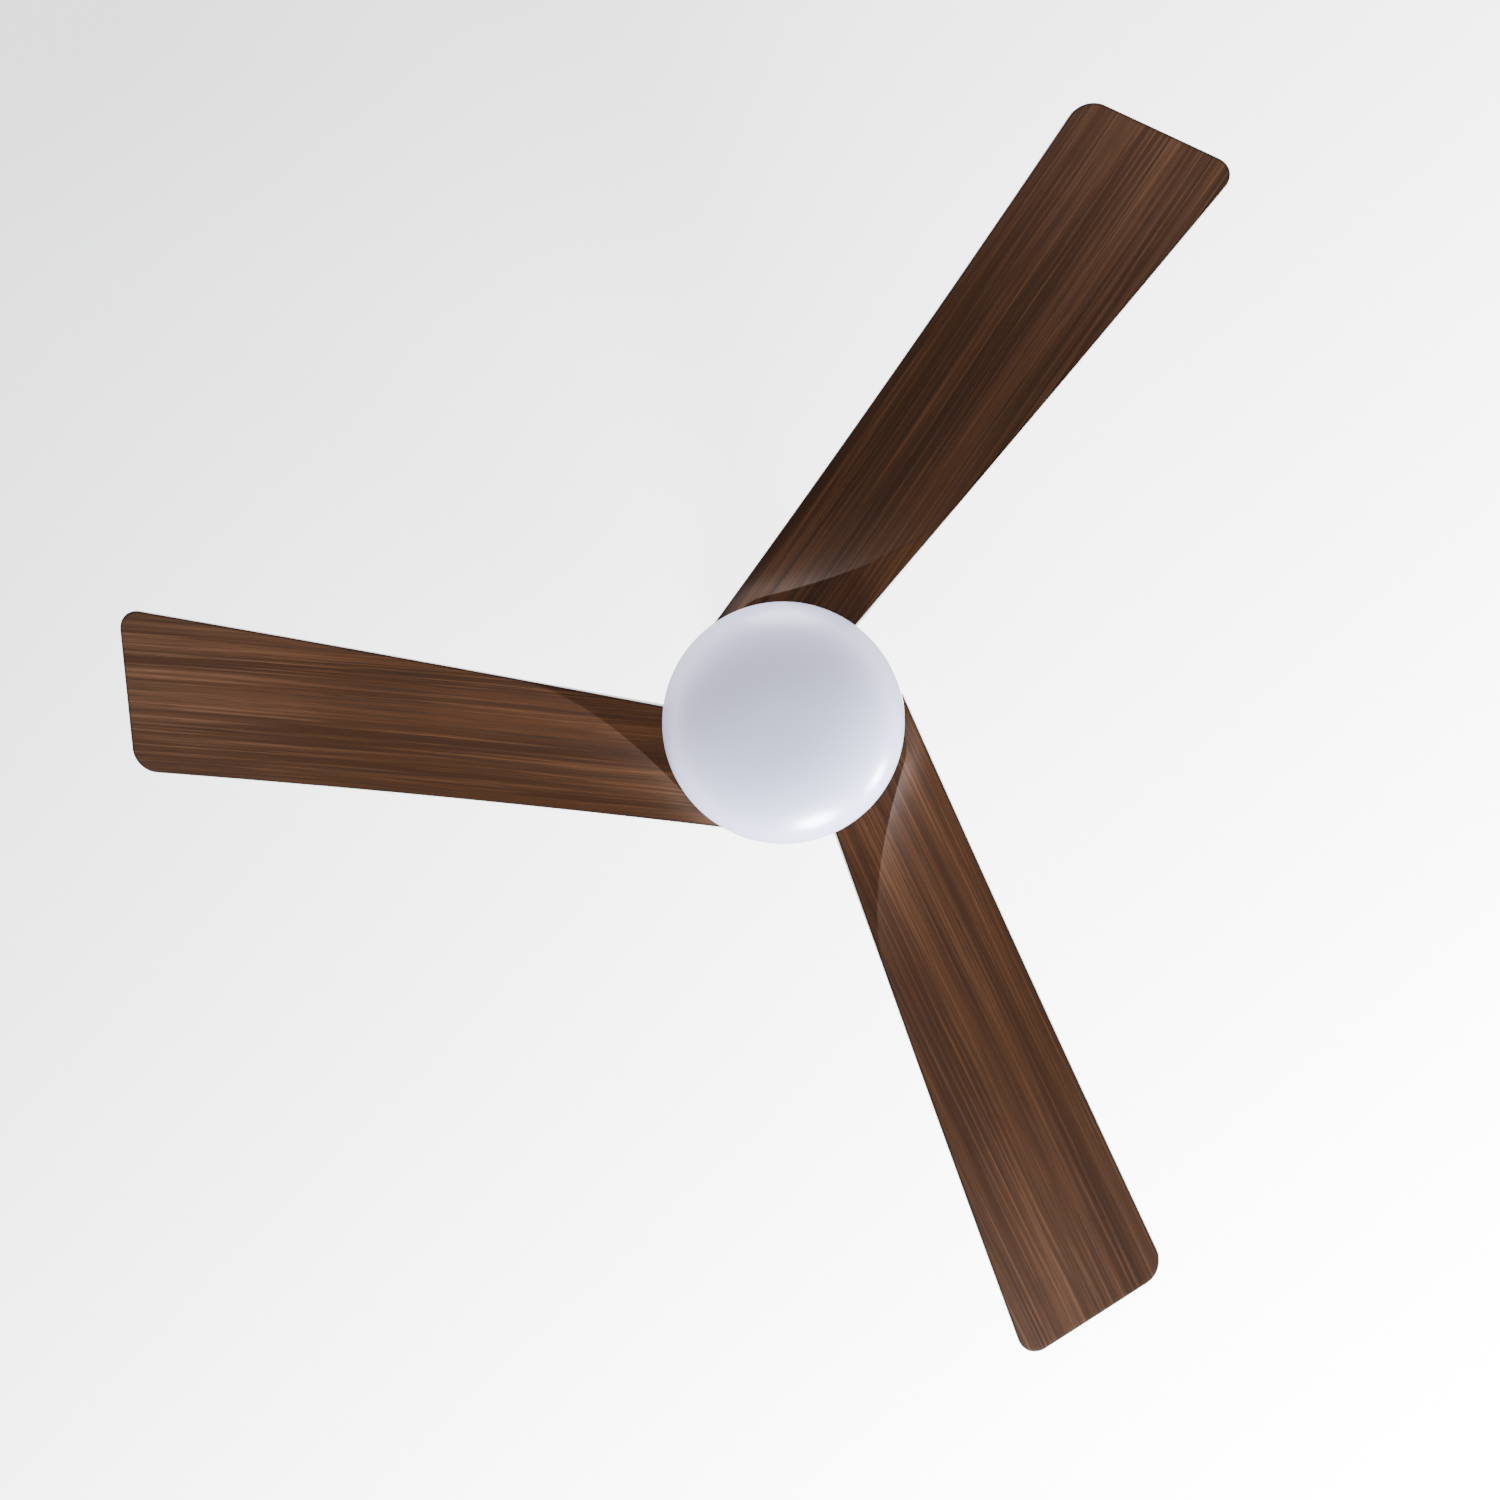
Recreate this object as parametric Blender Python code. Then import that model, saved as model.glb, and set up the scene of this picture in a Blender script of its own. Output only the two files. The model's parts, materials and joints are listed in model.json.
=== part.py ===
"""Ceiling fan with light: three blades, an outer-rotor motor, a short downrod and a domed lamp.

Metres, +Z up. The origin is the centre of the ceiling bracket's top face, and the fan hangs down
from it along -Z. Each blade is modelled in a frame of its own: x runs out along the blade, the
trailing edge is on the +y side and the leading edge on the -y side.
"""
import math

import bmesh
import bpy
import numpy as np
from mathutils import Matrix, Vector

# ---- driving dimensions -------------------------------------------------------------------------
GAP = 0.0003                     # between two pieces that touch
ROUND_LARGE = 36                 # sides of the big turned covers
ROUND_BALL = 30                  # sides of the swinging seat, its liner and the ball
ROUND_INNER = 24                 # sides of the other turned pieces inside the covers
ROUND_SMALL = 16                 # sides of rods, nuts and bearings
ROUND_SCREW = 8                  # sides of screws and their holes

BLADE_COUNT = 3                  # a 52 inch fan: its outermost blade corners sweep a radius of 0.66
BLADE_FIRST_DEG = 184.6          # heading of the first blade
BLADE_Z = -0.262                 # level of the trailing edges' underside
BLADE_T = 0.007                  # thickness of a blade
BLADE_TIP_T = 0.005
BLADE_CUT_R = 0.1145             # the raised part of a blade ends here, clear of the housing
TRAIL_ROOT = (0.130, 0.0051)     # a point near the hub and the tip corner, x and y
TRAIL_TIP = (0.6577, 0.0554)
TRAIL_BOW = 0.0010               # how far the trailing edge swells at its middle
LEAD_TIP = (0.6359, -0.1042)
LEAD_SWELL = 0.0070              # how much wider the leading side is at the hub than at the tip
LEAD_PEAK = (0.310, 0.0323)      # the leading edge arches: where it is highest, and how high
LEAD_RISE_TIP = 0.0115           # its height over the trailing edge at the tip
TIP_CORNER_R = 0.022
TIP_CHORD = TRAIL_TIP[1] - LEAD_TIP[1]
FOLD_START = (0.0845, -0.0842)   # the fold between the flat root and the raised blade
FOLD_SLOPE = 0.90                # how steeply it crosses the blade there
FOLD_CURL = 20.0                 # inboard of that point it bends along the leading edge
FOLD_END_X = 0.269               # where it runs out into the trailing edge
TONGUE_R = (0.060, 0.119)        # the flat root reaches in under the motor between these radii
TONGUE_DEG = (-37.0, 1.0)
BLADE_STATIONS = np.array([0, .04, .08, .12, .16, .20, .25, .31, .38, .48, .60, .74, .88, .96, 1])
BLADE_ROWS = ([("flat", level) for level in (0.0, 0.134, 0.5, 1.0)]
              + [("ramp", level) for level in (0.12, 0.3, 0.6, 1.0)]
              + [("edge", level) for level in (0.5, 0.866, 1.0)])
RETAINER_R = (0.062, 0.102)      # the plate under each blade's root
RETAINER_DEG = (-35.0, -1.0)
RETAINER_LOW = BLADE_Z - 0.0018

BALL_Z = -0.036                  # centre of the hanger ball, where the fan swings
BALL_R = 0.0260
LINER_R = (0.0263, 0.0287)
LINER_Z = (BALL_Z - 0.019, BALL_Z - 0.005)
SEAT_R = 0.0291
ROD_R = (0.0085, 0.01065)        # bore and outside of the downrod, a 1/2 inch pipe
ROD_TOP = BALL_Z + 0.012
ROD_BOTTOM = -0.1935
SHAFT_R = (0.0060, 0.0085)
SHAFT_TOP = -0.1950
SHAFT_BOTTOM = -0.2815
FIT_R = SHAFT_R[1] + GAP         # holes that sit on the shaft

CANOPY_R = 0.075
CANOPY_H = 0.068
CANOPY_HOLE_R = 0.030
CANOPY_TOP = -0.0008
CANOPY_RIM_Z = -0.024            # the straight rim turns into the bowl here
WALL = 0.0012                    # pressed steel covers
HOUSING_R = 0.111
HOUSING_TOP = -0.2038
HOUSING_BOTTOM = -0.2510
HOUSING_CROWN_R = 0.046          # flat out to here, then a slope to the bend
HOUSING_BEND = (0.024, 0.0173)   # width and height of the bend round the shoulder
HOUSING_SHOULDER_DROP = 0.019
HOUSING_WALL = 0.0015
ROTOR_R = 0.0905
ROTOR_TOP = -0.2090
ROTOR_BOTTOM = -0.2505
HUB_PLATE_R = 0.100
HUB_PLATE_Z = (-0.2548, -0.2508)
BOLT_SPOTS = ((0.070, -6.0), (0.092, -30.0), (0.083, -18.0))   # blade screws: radius, heading
BLADE_SCREW_HOLE_R = 0.0026
HUB_SCREW_HOLE_R = 0.0023

PAN_TOP = -0.2708
PAN_BOTTOM = -0.2960
PAN_R = 0.1085
PAN_WALL = 0.0013
PAN_BEVEL = 0.003
DOME_R = 0.1116                  # widest radius of the opal dome
DOME_WIDE_Z = -0.322
DOME_BOTTOM = -0.376
DOME_FULLNESS = 0.80             # 1 is an ellipse, less is fuller near the widest line
DOME_T = 0.0020
DOME_SHOULDER_Z = -0.2966
DOME_SHOULDER_IN = 0.0012        # the wall leans in by this much between its widest line and the shoulder
NECK_R = (0.1020, 0.1040)
NECK_TOP = -0.2860
KEEPER_Z = (-0.2945, -0.2925)
LUG_Z = (KEEPER_Z[1] + GAP, -0.2900)


# ---- materials ----------------------------------------------------------------------------------
def material(name, colour, roughness, metallic=0.0):
    made = bpy.data.materials.new(name)
    made.use_nodes = True
    shader = made.node_tree.nodes["Principled BSDF"]
    shader.inputs["Base Color"].default_value = (*colour, 1.0)
    shader.inputs["Roughness"].default_value = roughness
    shader.inputs["Metallic"].default_value = metallic
    made.diffuse_color = (*colour, 1.0)
    return made


FINISHES = {
    "white": ((0.80, 0.79, 0.76), 0.45, 0.0),
    "walnut": ((0.15, 0.065, 0.035), 0.50, 0.0),
    "opal": ((0.82, 0.83, 0.87), 0.30, 0.0),
    "steel": ((0.55, 0.55, 0.56), 0.40, 1.0),
    "dark_steel": ((0.05, 0.05, 0.055), 0.45, 1.0),
    "black": ((0.03, 0.03, 0.03), 0.55, 0.0),
    "copper": ((0.60, 0.25, 0.12), 0.40, 1.0),
    "core": ((0.18, 0.18, 0.20), 0.50, 1.0),
    "board": ((0.75, 0.77, 0.78), 0.50, 0.0),
    "nylon": ((0.70, 0.68, 0.62), 0.55, 0.0),
    "zinc": ((0.50, 0.50, 0.48), 0.45, 1.0),
}


# ---- building blocks ----------------------------------------------------------------------------
def mesh_from(bm, name, smooth=True):
    """Close a bmesh into a mesh with outward faces."""
    bmesh.ops.remove_doubles(bm, verts=bm.verts, dist=1e-6)
    bmesh.ops.recalc_face_normals(bm, faces=bm.faces)
    mesh = bpy.data.meshes.new(name)
    bm.to_mesh(mesh)
    bm.free()
    if smooth:
        mesh.shade_smooth()
        mesh.set_sharp_from_angle(angle=math.radians(35))
    return mesh


def place(name, mesh, finish, parent, matrix=None):
    """Add a sub-part, with a material of its own, to the empty that carries its body."""
    obj = bpy.data.objects.new(name, mesh)
    bpy.context.scene.collection.objects.link(obj)
    if not mesh.materials:
        mesh.materials.append(material(f"{name}_{finish}", *FINISHES[finish]))
    if matrix is not None:
        obj.matrix_world = matrix
    obj.parent = parent
    obj.matrix_parent_inverse = parent.matrix_world.inverted()
    return obj


def turned(outline, sides):
    """A bmesh of revolution about Z from a closed outline of (radius, height) points.

    Points on the axis are left single, so a solid that reaches the axis closes there."""
    bm = bmesh.new()
    angles = np.arange(sides) * 2 * math.pi / sides
    rings = []
    for radius, height in outline:
        if radius < 1e-7:
            rings.append([bm.verts.new((0, 0, height))] * sides)
        else:
            rings.append([bm.verts.new((radius * math.cos(a), radius * math.sin(a), height)) for a in angles])
    for ring, after in zip(rings, rings[1:] + rings[:1]):
        for i in range(sides):
            j = (i + 1) % sides
            corners = list(dict.fromkeys((ring[i], ring[j], after[j], after[i])))
            if len(corners) > 2:
                bm.faces.new(corners)
    return bm


def tube(r_in, r_out, z_low, z_high, sides):
    return turned([(r_in, z_low), (r_out, z_low), (r_out, z_high), (r_in, z_high)], sides)


def rod(radius, z_low, z_high, sides=ROUND_SCREW):
    return turned([(0, z_low), (radius, z_low), (radius, z_high), (0, z_high)], sides)


def block(low, high):
    """A box between two corners."""
    bm = bmesh.new()
    size = Vector(high) - Vector(low)
    centre = (Vector(high) + Vector(low)) / 2
    bmesh.ops.create_cube(bm, size=1.0, matrix=Matrix.Translation(centre) @ Matrix.Diagonal((*size, 1.0)))
    return bm


def extruded(outline, z_low, z_high):
    """A prism from a closed outline of (x, y) points."""
    bm = bmesh.new()
    face = bm.faces.new([bm.verts.new((x, y, z_low)) for x, y in outline])
    raised = bmesh.ops.extrude_face_region(bm, geom=[face])["geom"]
    corners = [part for part in raised if isinstance(part, bmesh.types.BMVert)]
    bmesh.ops.translate(bm, vec=(0, 0, z_high - z_low), verts=corners)
    return bm


def sector(r_in, r_out, start_deg, end_deg, steps=4):
    """The outline of a slice of a ring."""
    angles = np.radians(np.linspace(start_deg, end_deg, steps + 1))
    outer = [(r_out * math.cos(a), r_out * math.sin(a)) for a in angles]
    inner = [(r_in * math.cos(a), r_in * math.sin(a)) for a in angles[::-1]]
    return outer + inner


def moved(bm, matrix):
    bm.transform(matrix)
    return bm


def joined(pieces):
    """One bmesh from several that don't touch, to cut with in one go."""
    whole = bmesh.new()
    for piece in pieces:
        part = bpy.data.meshes.new("part")
        bmesh.ops.recalc_face_normals(piece, faces=piece.faces)
        piece.to_mesh(part)
        piece.free()
        whole.from_mesh(part)
        bpy.data.meshes.remove(part)
    return whole


def boolean(obj, operation, tool_bm):
    """Join a shape to an object, or cut it away, with a Boolean modifier that stays live."""
    tool = bpy.data.objects.new(f"tool_{obj.name}_{len(obj.modifiers)}", mesh_from(tool_bm, "tool", False))
    bpy.context.scene.collection.objects.link(tool)
    tool.hide_render = True
    tool.display_type = "WIRE"
    modifier = obj.modifiers.new(operation.lower(), "BOOLEAN")
    modifier.operation = operation
    modifier.solver = "EXACT"
    modifier.object = tool


def along(axis, centre=(0, 0, 0)):
    """Turns a shape built along Z so that it lies along X or Y through a centre."""
    turn = {"X": Matrix.Rotation(math.pi / 2, 4, "Y"), "Y": Matrix.Rotation(-math.pi / 2, 4, "X")}[axis]
    return Matrix.Translation(centre) @ turn


def about_z(degrees, centre=(0, 0, 0)):
    return Matrix.Rotation(math.radians(degrees), 4, "Z") @ Matrix.Translation(centre)


def polar(radius, degrees, z=0.0):
    angle = math.radians(degrees)
    return Vector((radius * math.cos(angle), radius * math.sin(angle), z))


def drill(radius, centre, axis="Z", reach=0.01, sides=ROUND_SCREW):
    """A round cutter through a centre, reaching the same way to both sides."""
    turn = Matrix.Translation(centre) if axis == "Z" else along(axis, centre)
    return moved(rod(radius, -reach, reach, sides), turn)


def screw(head_r, head_h, shank_r, length):
    """A pan-head screw: the head's underside is at z = 0, the head below it and the shank above."""
    return turned([(0, -head_h), (head_r * 0.7, -head_h), (head_r, -head_h * 0.6), (head_r, 0),
                   (shank_r, 0), (shank_r, length), (0, length)], ROUND_SCREW)


def empty(name, location, parent=None):
    made = bpy.data.objects.new(name, None)
    made.location = location
    bpy.context.scene.collection.objects.link(made)
    if parent is not None:
        made.parent = parent
        made.matrix_parent_inverse = Matrix.Translation(-parent.location)
    return made


# ---- ceiling mount ------------------------------------------------------------------------------
STRAP = (0.0705, 0.018, 0.0025)  # half length, half width and thickness of the bracket's strap
EAR_DROP = 0.016
CRADLE_R = 0.0365
CRADLE_Z = (BALL_Z - 0.022, BALL_Z - 0.006)
BOX_SCREW_X = 0.04445            # outlet box screws are 3.5 inches apart
BOX_SCREW_HOLE_R = 0.0026
CABLE_HOLE = (0.0060, 0.011)     # radius, and distance from the centre
CANOPY_SCREW_Z = -0.010
CANOPY_SCREW_HOLE_R = 0.0022
EAR_HALF_Y = 0.012
HANGER_HALF_Y = 0.014
CRADLE_SLOT_HALF_X = 0.0125
RECEIVER = ((-0.032, 0.034, -0.030), (0.032, 0.056, -0.0055))
TERMINAL = ((-0.016, -0.052, -0.019), (0.016, -0.038, -0.0055))
LEAD_R = 0.0018


def seat_arc(radius, z_low, z_high, steps=4):
    """Points on a sphere about the hanger ball's centre, from z_low up to z_high."""
    low = math.asin((z_low - BALL_Z) / radius)
    high = math.asin((z_high - BALL_Z) / radius)
    return [(radius * math.cos(a), BALL_Z + radius * math.sin(a)) for a in np.linspace(low, high, steps + 1)]


def ceiling_bracket(parent):
    half_x, half_y, thick = STRAP
    obj = place("ceiling_bracket", mesh_from(block((-half_x, -half_y, -thick), (half_x, half_y, 0)), "strap",
                                             False), "zinc", parent)
    for side in (-1, 1):
        near, far = sorted((side * (half_x - 0.002), side * (half_x - 0.0001)))
        boolean(obj, "UNION", block((near, -EAR_HALF_Y, -EAR_DROP), (far, EAR_HALF_Y, -thick / 2)))
        near, far = sorted((side * (CRADLE_R - 0.0040), side * (CRADLE_R + 0.0004)))
        boolean(obj, "UNION", block((near, -HANGER_HALF_Y, CRADLE_Z[0] + 0.0005), (far, HANGER_HALF_Y, -thick / 2)))
    ring = seat_arc(SEAT_R, *CRADLE_Z) + [(CRADLE_R, CRADLE_Z[1]), (CRADLE_R, CRADLE_Z[0])]
    boolean(obj, "UNION", turned(ring, ROUND_BALL))
    # the rod goes in through a slot in the cradle's near side
    boolean(obj, "DIFFERENCE", block((-CRADLE_SLOT_HALF_X, -CRADLE_R - 0.0035, CRADLE_Z[0] - 0.001),
                                     (CRADLE_SLOT_HALF_X, -0.010, CRADLE_Z[1] + 0.001)))
    holes = [drill(BOX_SCREW_HOLE_R, (side * BOX_SCREW_X, 0, 0)) for side in (-1, 1)]
    holes += [drill(CABLE_HOLE[0], (0, side * CABLE_HOLE[1], 0)) for side in (-1, 1)]
    boolean(obj, "DIFFERENCE", joined(holes))
    boolean(obj, "DIFFERENCE", drill(CANOPY_SCREW_HOLE_R + 0.0001, (0, 0, CANOPY_SCREW_Z), "X", CANOPY_R + 0.005))


def mount_screws(parent):
    """Two screws hold the strap to the outlet box and two hold the canopy to the strap's ears."""
    box_screw = mesh_from(screw(0.0042, 0.0026, 0.0022, 0.0024), "box_screw")
    canopy_screw = mesh_from(screw(0.0036, 0.0022, 0.0018, 0.0060), "canopy_screw")
    for number, side in enumerate((-1, 1), start=1):
        place(f"box_screw_{number}", box_screw, "steel", parent,
              Matrix.Translation((side * BOX_SCREW_X, 0, -STRAP[2] - GAP)))
        inward = Matrix.Rotation(-side * math.pi / 2, 4, "Y")
        place(f"canopy_screw_{number}", canopy_screw, "white", parent,
              Matrix.Translation((side * (CANOPY_R + 0.0004), 0, CANOPY_SCREW_Z)) @ inward)


def canopy_outline(inset):
    """The canopy's profile: a straight rim, then a quarter ellipse in to the hole."""
    outer = CANOPY_R - inset
    reach = CANOPY_HOLE_R + 0.002
    drop = CANOPY_H - inset + CANOPY_RIM_Z
    angles = np.linspace(0, math.pi / 2, 6)
    bowl = [(reach + (outer - reach) * math.cos(a), CANOPY_RIM_Z - drop * math.sin(a)) for a in angles]
    return [(outer, CANOPY_TOP)] + bowl + [(CANOPY_HOLE_R, -CANOPY_H + inset)]


def canopy(parent):
    outline = canopy_outline(0.0) + canopy_outline(WALL)[::-1]
    obj = place("canopy", mesh_from(turned(outline, ROUND_LARGE), "canopy"), "white", parent)
    boolean(obj, "DIFFERENCE", drill(CANOPY_SCREW_HOLE_R, (0, 0, CANOPY_SCREW_Z), "X", CANOPY_R + 0.015))


def receiver(parent):
    """The remote control's receiver, the block where the mains is joined, and the lead between."""
    place("receiver_box", mesh_from(block(*RECEIVER), "receiver", False), "black", parent)
    place("terminal_block", mesh_from(block(*TERMINAL), "terminal", False), "nylon", parent)
    wire("supply_lead", [(0, -0.0376, -0.012), (0, -0.030, -0.0112), (0, -0.020, -0.0102), (0, -0.011, -0.0104),
                         (0, -0.0065, -0.0125), (0, -0.0056, -0.0185)], LEAD_R, parent)


def wire(name, route, radius, parent):
    curve = bpy.data.curves.new(name, "CURVE")
    curve.dimensions = "3D"
    curve.bevel_depth = radius
    curve.bevel_resolution = 2
    curve.use_fill_caps = True
    spline = curve.splines.new("POLY")
    spline.points.add(len(route) - 1)
    for point, spot in zip(spline.points, route):
        point.co = (*spot, 1.0)
    return place(name, curve, "black", parent)


# ---- hanger and downrod -------------------------------------------------------------------------
def seat_liner(parent):
    """A nylon cup between the cradle and the ball, spherical inside and out."""
    outline = seat_arc(LINER_R[1], *LINER_Z) + seat_arc(LINER_R[0], *LINER_Z)[::-1]
    place("seat_liner", mesh_from(turned(outline, ROUND_BALL), "liner"), "nylon", parent)


BALL_CUT_Z = (BALL_Z - 0.022, BALL_Z + 0.006)
CROSS_PIN_R = 0.0028
PIN_Z = BALL_Z + 0.0031          # the cross pin lies in a groove in the ball's flat top
PIN_GROOVE_HALF_Y = 0.0033
SET_SCREW_Z = BALL_Z - 0.0006
SET_SCREW_R = 0.0024
CLEVIS_HOLE_R = 0.0034


def hanger(parent):
    low, high = BALL_CUT_Z
    bore = ROD_R[1] + GAP
    outline = seat_arc(BALL_R, low, high, 8) + [(bore, high), (bore, low)]
    ball = place("hanger_ball", mesh_from(turned(outline, ROUND_BALL), "ball"), "black", parent)
    boolean(ball, "DIFFERENCE", block((-0.03, -PIN_GROOVE_HALF_Y, BALL_Z), (0.03, PIN_GROOVE_HALF_Y, BALL_Z + 0.02)))
    boolean(ball, "DIFFERENCE", moved(rod(SET_SCREW_R + GAP, 0.005, 0.030), along("Y", (0, 0, SET_SCREW_Z))))
    place("cross_pin", mesh_from(drill(CROSS_PIN_R, (0, 0, PIN_Z), "X", 0.022), "pin"), "steel", parent)
    set_screw = moved(rod(SET_SCREW_R, ROD_R[1] + 0.0005, 0.022), along("Y", (0, 0, SET_SCREW_Z)))
    place("ball_set_screw", mesh_from(set_screw, "set_screw"), "steel", parent)
    pipe = place("downrod", mesh_from(tube(*ROD_R, ROD_BOTTOM, ROD_TOP, ROUND_SMALL), "downrod"), "white", parent)
    boolean(pipe, "DIFFERENCE", drill(CROSS_PIN_R + GAP, (0, 0, PIN_Z), "X", 0.03))
    boolean(pipe, "DIFFERENCE", drill(CLEVIS_HOLE_R, (0, 0, CLEVIS_Z), "Y", 0.03))


# ---- yoke ---------------------------------------------------------------------------------------
CLEVIS_Z = -0.181
YOKE_R = 0.0165
YOKE_Z = (-0.1945, -0.166)       # floor of the rod's socket, and the socket's mouth
YOKE_FLANGE = (0.030, -0.2035, -0.1985)
YOKE_SCREW_Z = -0.172
PIN_HEAD = (0.0045, 0.0235)      # radius, and how far out its face is
PIN_SHANK = (0.0030, 0.0215)


def yoke(parent):
    """The coupling that joins the downrod to the motor's shaft, with its pin and set screws."""
    flange_r, flange_low, flange_high = YOKE_FLANGE
    bore = ROD_R[1] + GAP
    socket_low, mouth = YOKE_Z
    outline = [(FIT_R, flange_low), (flange_r, flange_low), (flange_r, flange_high), (YOKE_R, flange_high),
               (YOKE_R, mouth), (bore, mouth), (bore, socket_low), (FIT_R, socket_low)]
    body = place("motor_yoke", mesh_from(turned(outline, ROUND_SMALL), "yoke"), "zinc", parent)
    boolean(body, "DIFFERENCE", drill(CLEVIS_HOLE_R, (0, 0, CLEVIS_Z), "Y", 0.03))
    boolean(body, "DIFFERENCE", drill(SET_SCREW_R + GAP, (0, 0, YOKE_SCREW_Z), "X", 0.03))
    (head_r, face), (shank_r, reach) = PIN_HEAD, PIN_SHANK
    pin = turned([(0, -face), (head_r, -face), (head_r, -reach), (shank_r, -reach), (shank_r, reach), (0, reach)],
                 ROUND_SCREW)
    place("clevis_pin", mesh_from(moved(pin, along("Y", (0, 0, CLEVIS_Z))), "clevis"), "steel", parent)
    ring = tube(CLEVIS_HOLE_R, 0.0052, 0.0178, 0.0192, ROUND_SCREW)
    place("pin_clip", mesh_from(moved(ring, along("Y", (0, 0, CLEVIS_Z))), "clip"), "steel", parent)
    grub = mesh_from(rod(SET_SCREW_R, ROD_R[1] + 0.0006, 0.0190), "grub")
    for number, side in enumerate((-1, 1), start=1):
        place(f"yoke_set_screw_{number}", grub, "steel", parent,
              Matrix.Translation((0, 0, YOKE_SCREW_Z)) @ Matrix.Rotation(side * math.pi / 2, 4, "Y"))


COVER_TOP = -0.158
COVER_NECK_R = 0.0140
COVER_MOUTH_R = 0.0400


def cover_outline(inset):
    """The coupling cover's bell: a neck that flares out to the housing."""
    top, bottom, mouth = COVER_TOP - inset, HOUSING_TOP + GAP, COVER_MOUTH_R - inset
    steps = np.linspace(0, 1, 6)
    return [(COVER_NECK_R + (mouth - COVER_NECK_R) * s ** 0.55, top + (bottom - top) * s ** 1.1) for s in steps]


def coupling_cover(parent):
    outer = cover_outline(0.0)
    inner = cover_outline(WALL)
    hole = ROD_R[1] + 0.0007
    outline = [(hole, outer[0][1])] + outer + inner[::-1] + [(hole, inner[0][1])]
    place("coupling_cover", mesh_from(turned(outline, ROUND_INNER), "cover"), "white", parent)


# ---- motor --------------------------------------------------------------------------------------
BEARING_R = (FIT_R, 0.0155)
SEAT_BORE = BEARING_R[1] + GAP
BOSS_R = 0.0195
STATOR_R = 0.0838
STATOR_Z = (-0.2390, -0.2215)
TOOTH_COUNT = 12
TOOTH_HALF = ((0.042, 7.0), (0.0765, 3.6), (0.0800, 12.6), (STATOR_R, 13.0))   # radius, half angle
WINDING_END_Z = (-0.2450, -0.2155)
SPACER = (0.0125, -0.2687)       # outer radius and lower end of the shaft's spacer
SPLIT_Z = -0.2120                # where the rotor's two shells meet
RIM_BORE_R = 0.0100              # the shells' holes round the shaft
CAN_WALL = 0.0025
CAN_FLOOR = 0.003
HUB_SCREW_R = 0.078
MAGNET_Z = (-0.2440, -0.2180)


def motor_housing(parent):
    """The still cover over the motor, clamped under the yoke's flange."""
    def outline(inset):
        shoulder = HOUSING_TOP - HOUSING_SHOULDER_DROP
        wide, tall = HOUSING_BEND
        angles = np.linspace(0, math.pi / 2, 5)
        bend = [(HOUSING_R - wide + (wide - inset) * math.sin(a), shoulder + (tall - inset) * math.cos(a))
                for a in angles]
        return [(FIT_R, HOUSING_TOP - inset), (HOUSING_CROWN_R, HOUSING_TOP - inset)] + bend
    profile = outline(0.0) + [(HOUSING_R, HOUSING_BOTTOM), (HOUSING_R - HOUSING_WALL, HOUSING_BOTTOM)]
    profile += outline(HOUSING_WALL)[::-1]
    place("motor_housing", mesh_from(turned(profile, ROUND_LARGE), "housing"), "white", parent)


def motor_still_parts(parent):
    place("motor_shaft", mesh_from(tube(*SHAFT_R, SHAFT_BOTTOM, SHAFT_TOP, ROUND_SMALL), "shaft"), "steel", parent)
    place("shaft_spacer", mesh_from(tube(FIT_R, SPACER[0], SPACER[1], ROTOR_BOTTOM - GAP, ROUND_SMALL), "spacer"),
          "zinc", parent)
    half = [(radius, -spread) for radius, spread in TOOTH_HALF]
    corners = half + [(STATOR_R, 0.0)] + list(TOOTH_HALF[::-1])
    tooth = [tuple(polar(radius, number * 360 / TOOTH_COUNT + spread))[:2] for number in range(TOOTH_COUNT)
             for radius, spread in corners]
    core = place("stator_core", mesh_from(extruded(tooth, *STATOR_Z), "core", False), "core", parent)
    boolean(core, "DIFFERENCE", rod(FIT_R, STATOR_Z[0] - 0.01, STATOR_Z[1] + 0.01, ROUND_SMALL))
    for name, low, high in (("winding_upper", STATOR_Z[1] + GAP, WINDING_END_Z[1]),
                            ("winding_lower", WINDING_END_Z[0], STATOR_Z[0] - GAP)):
        bulge = (high - low) * 0.3
        outline = [(0.045, low), (0.074, low), (0.075, low + bulge), (0.072, high), (0.047, high),
                   (0.044, low + bulge)]
        place(name, mesh_from(turned(outline, ROUND_INNER), name), "copper", parent)


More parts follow.
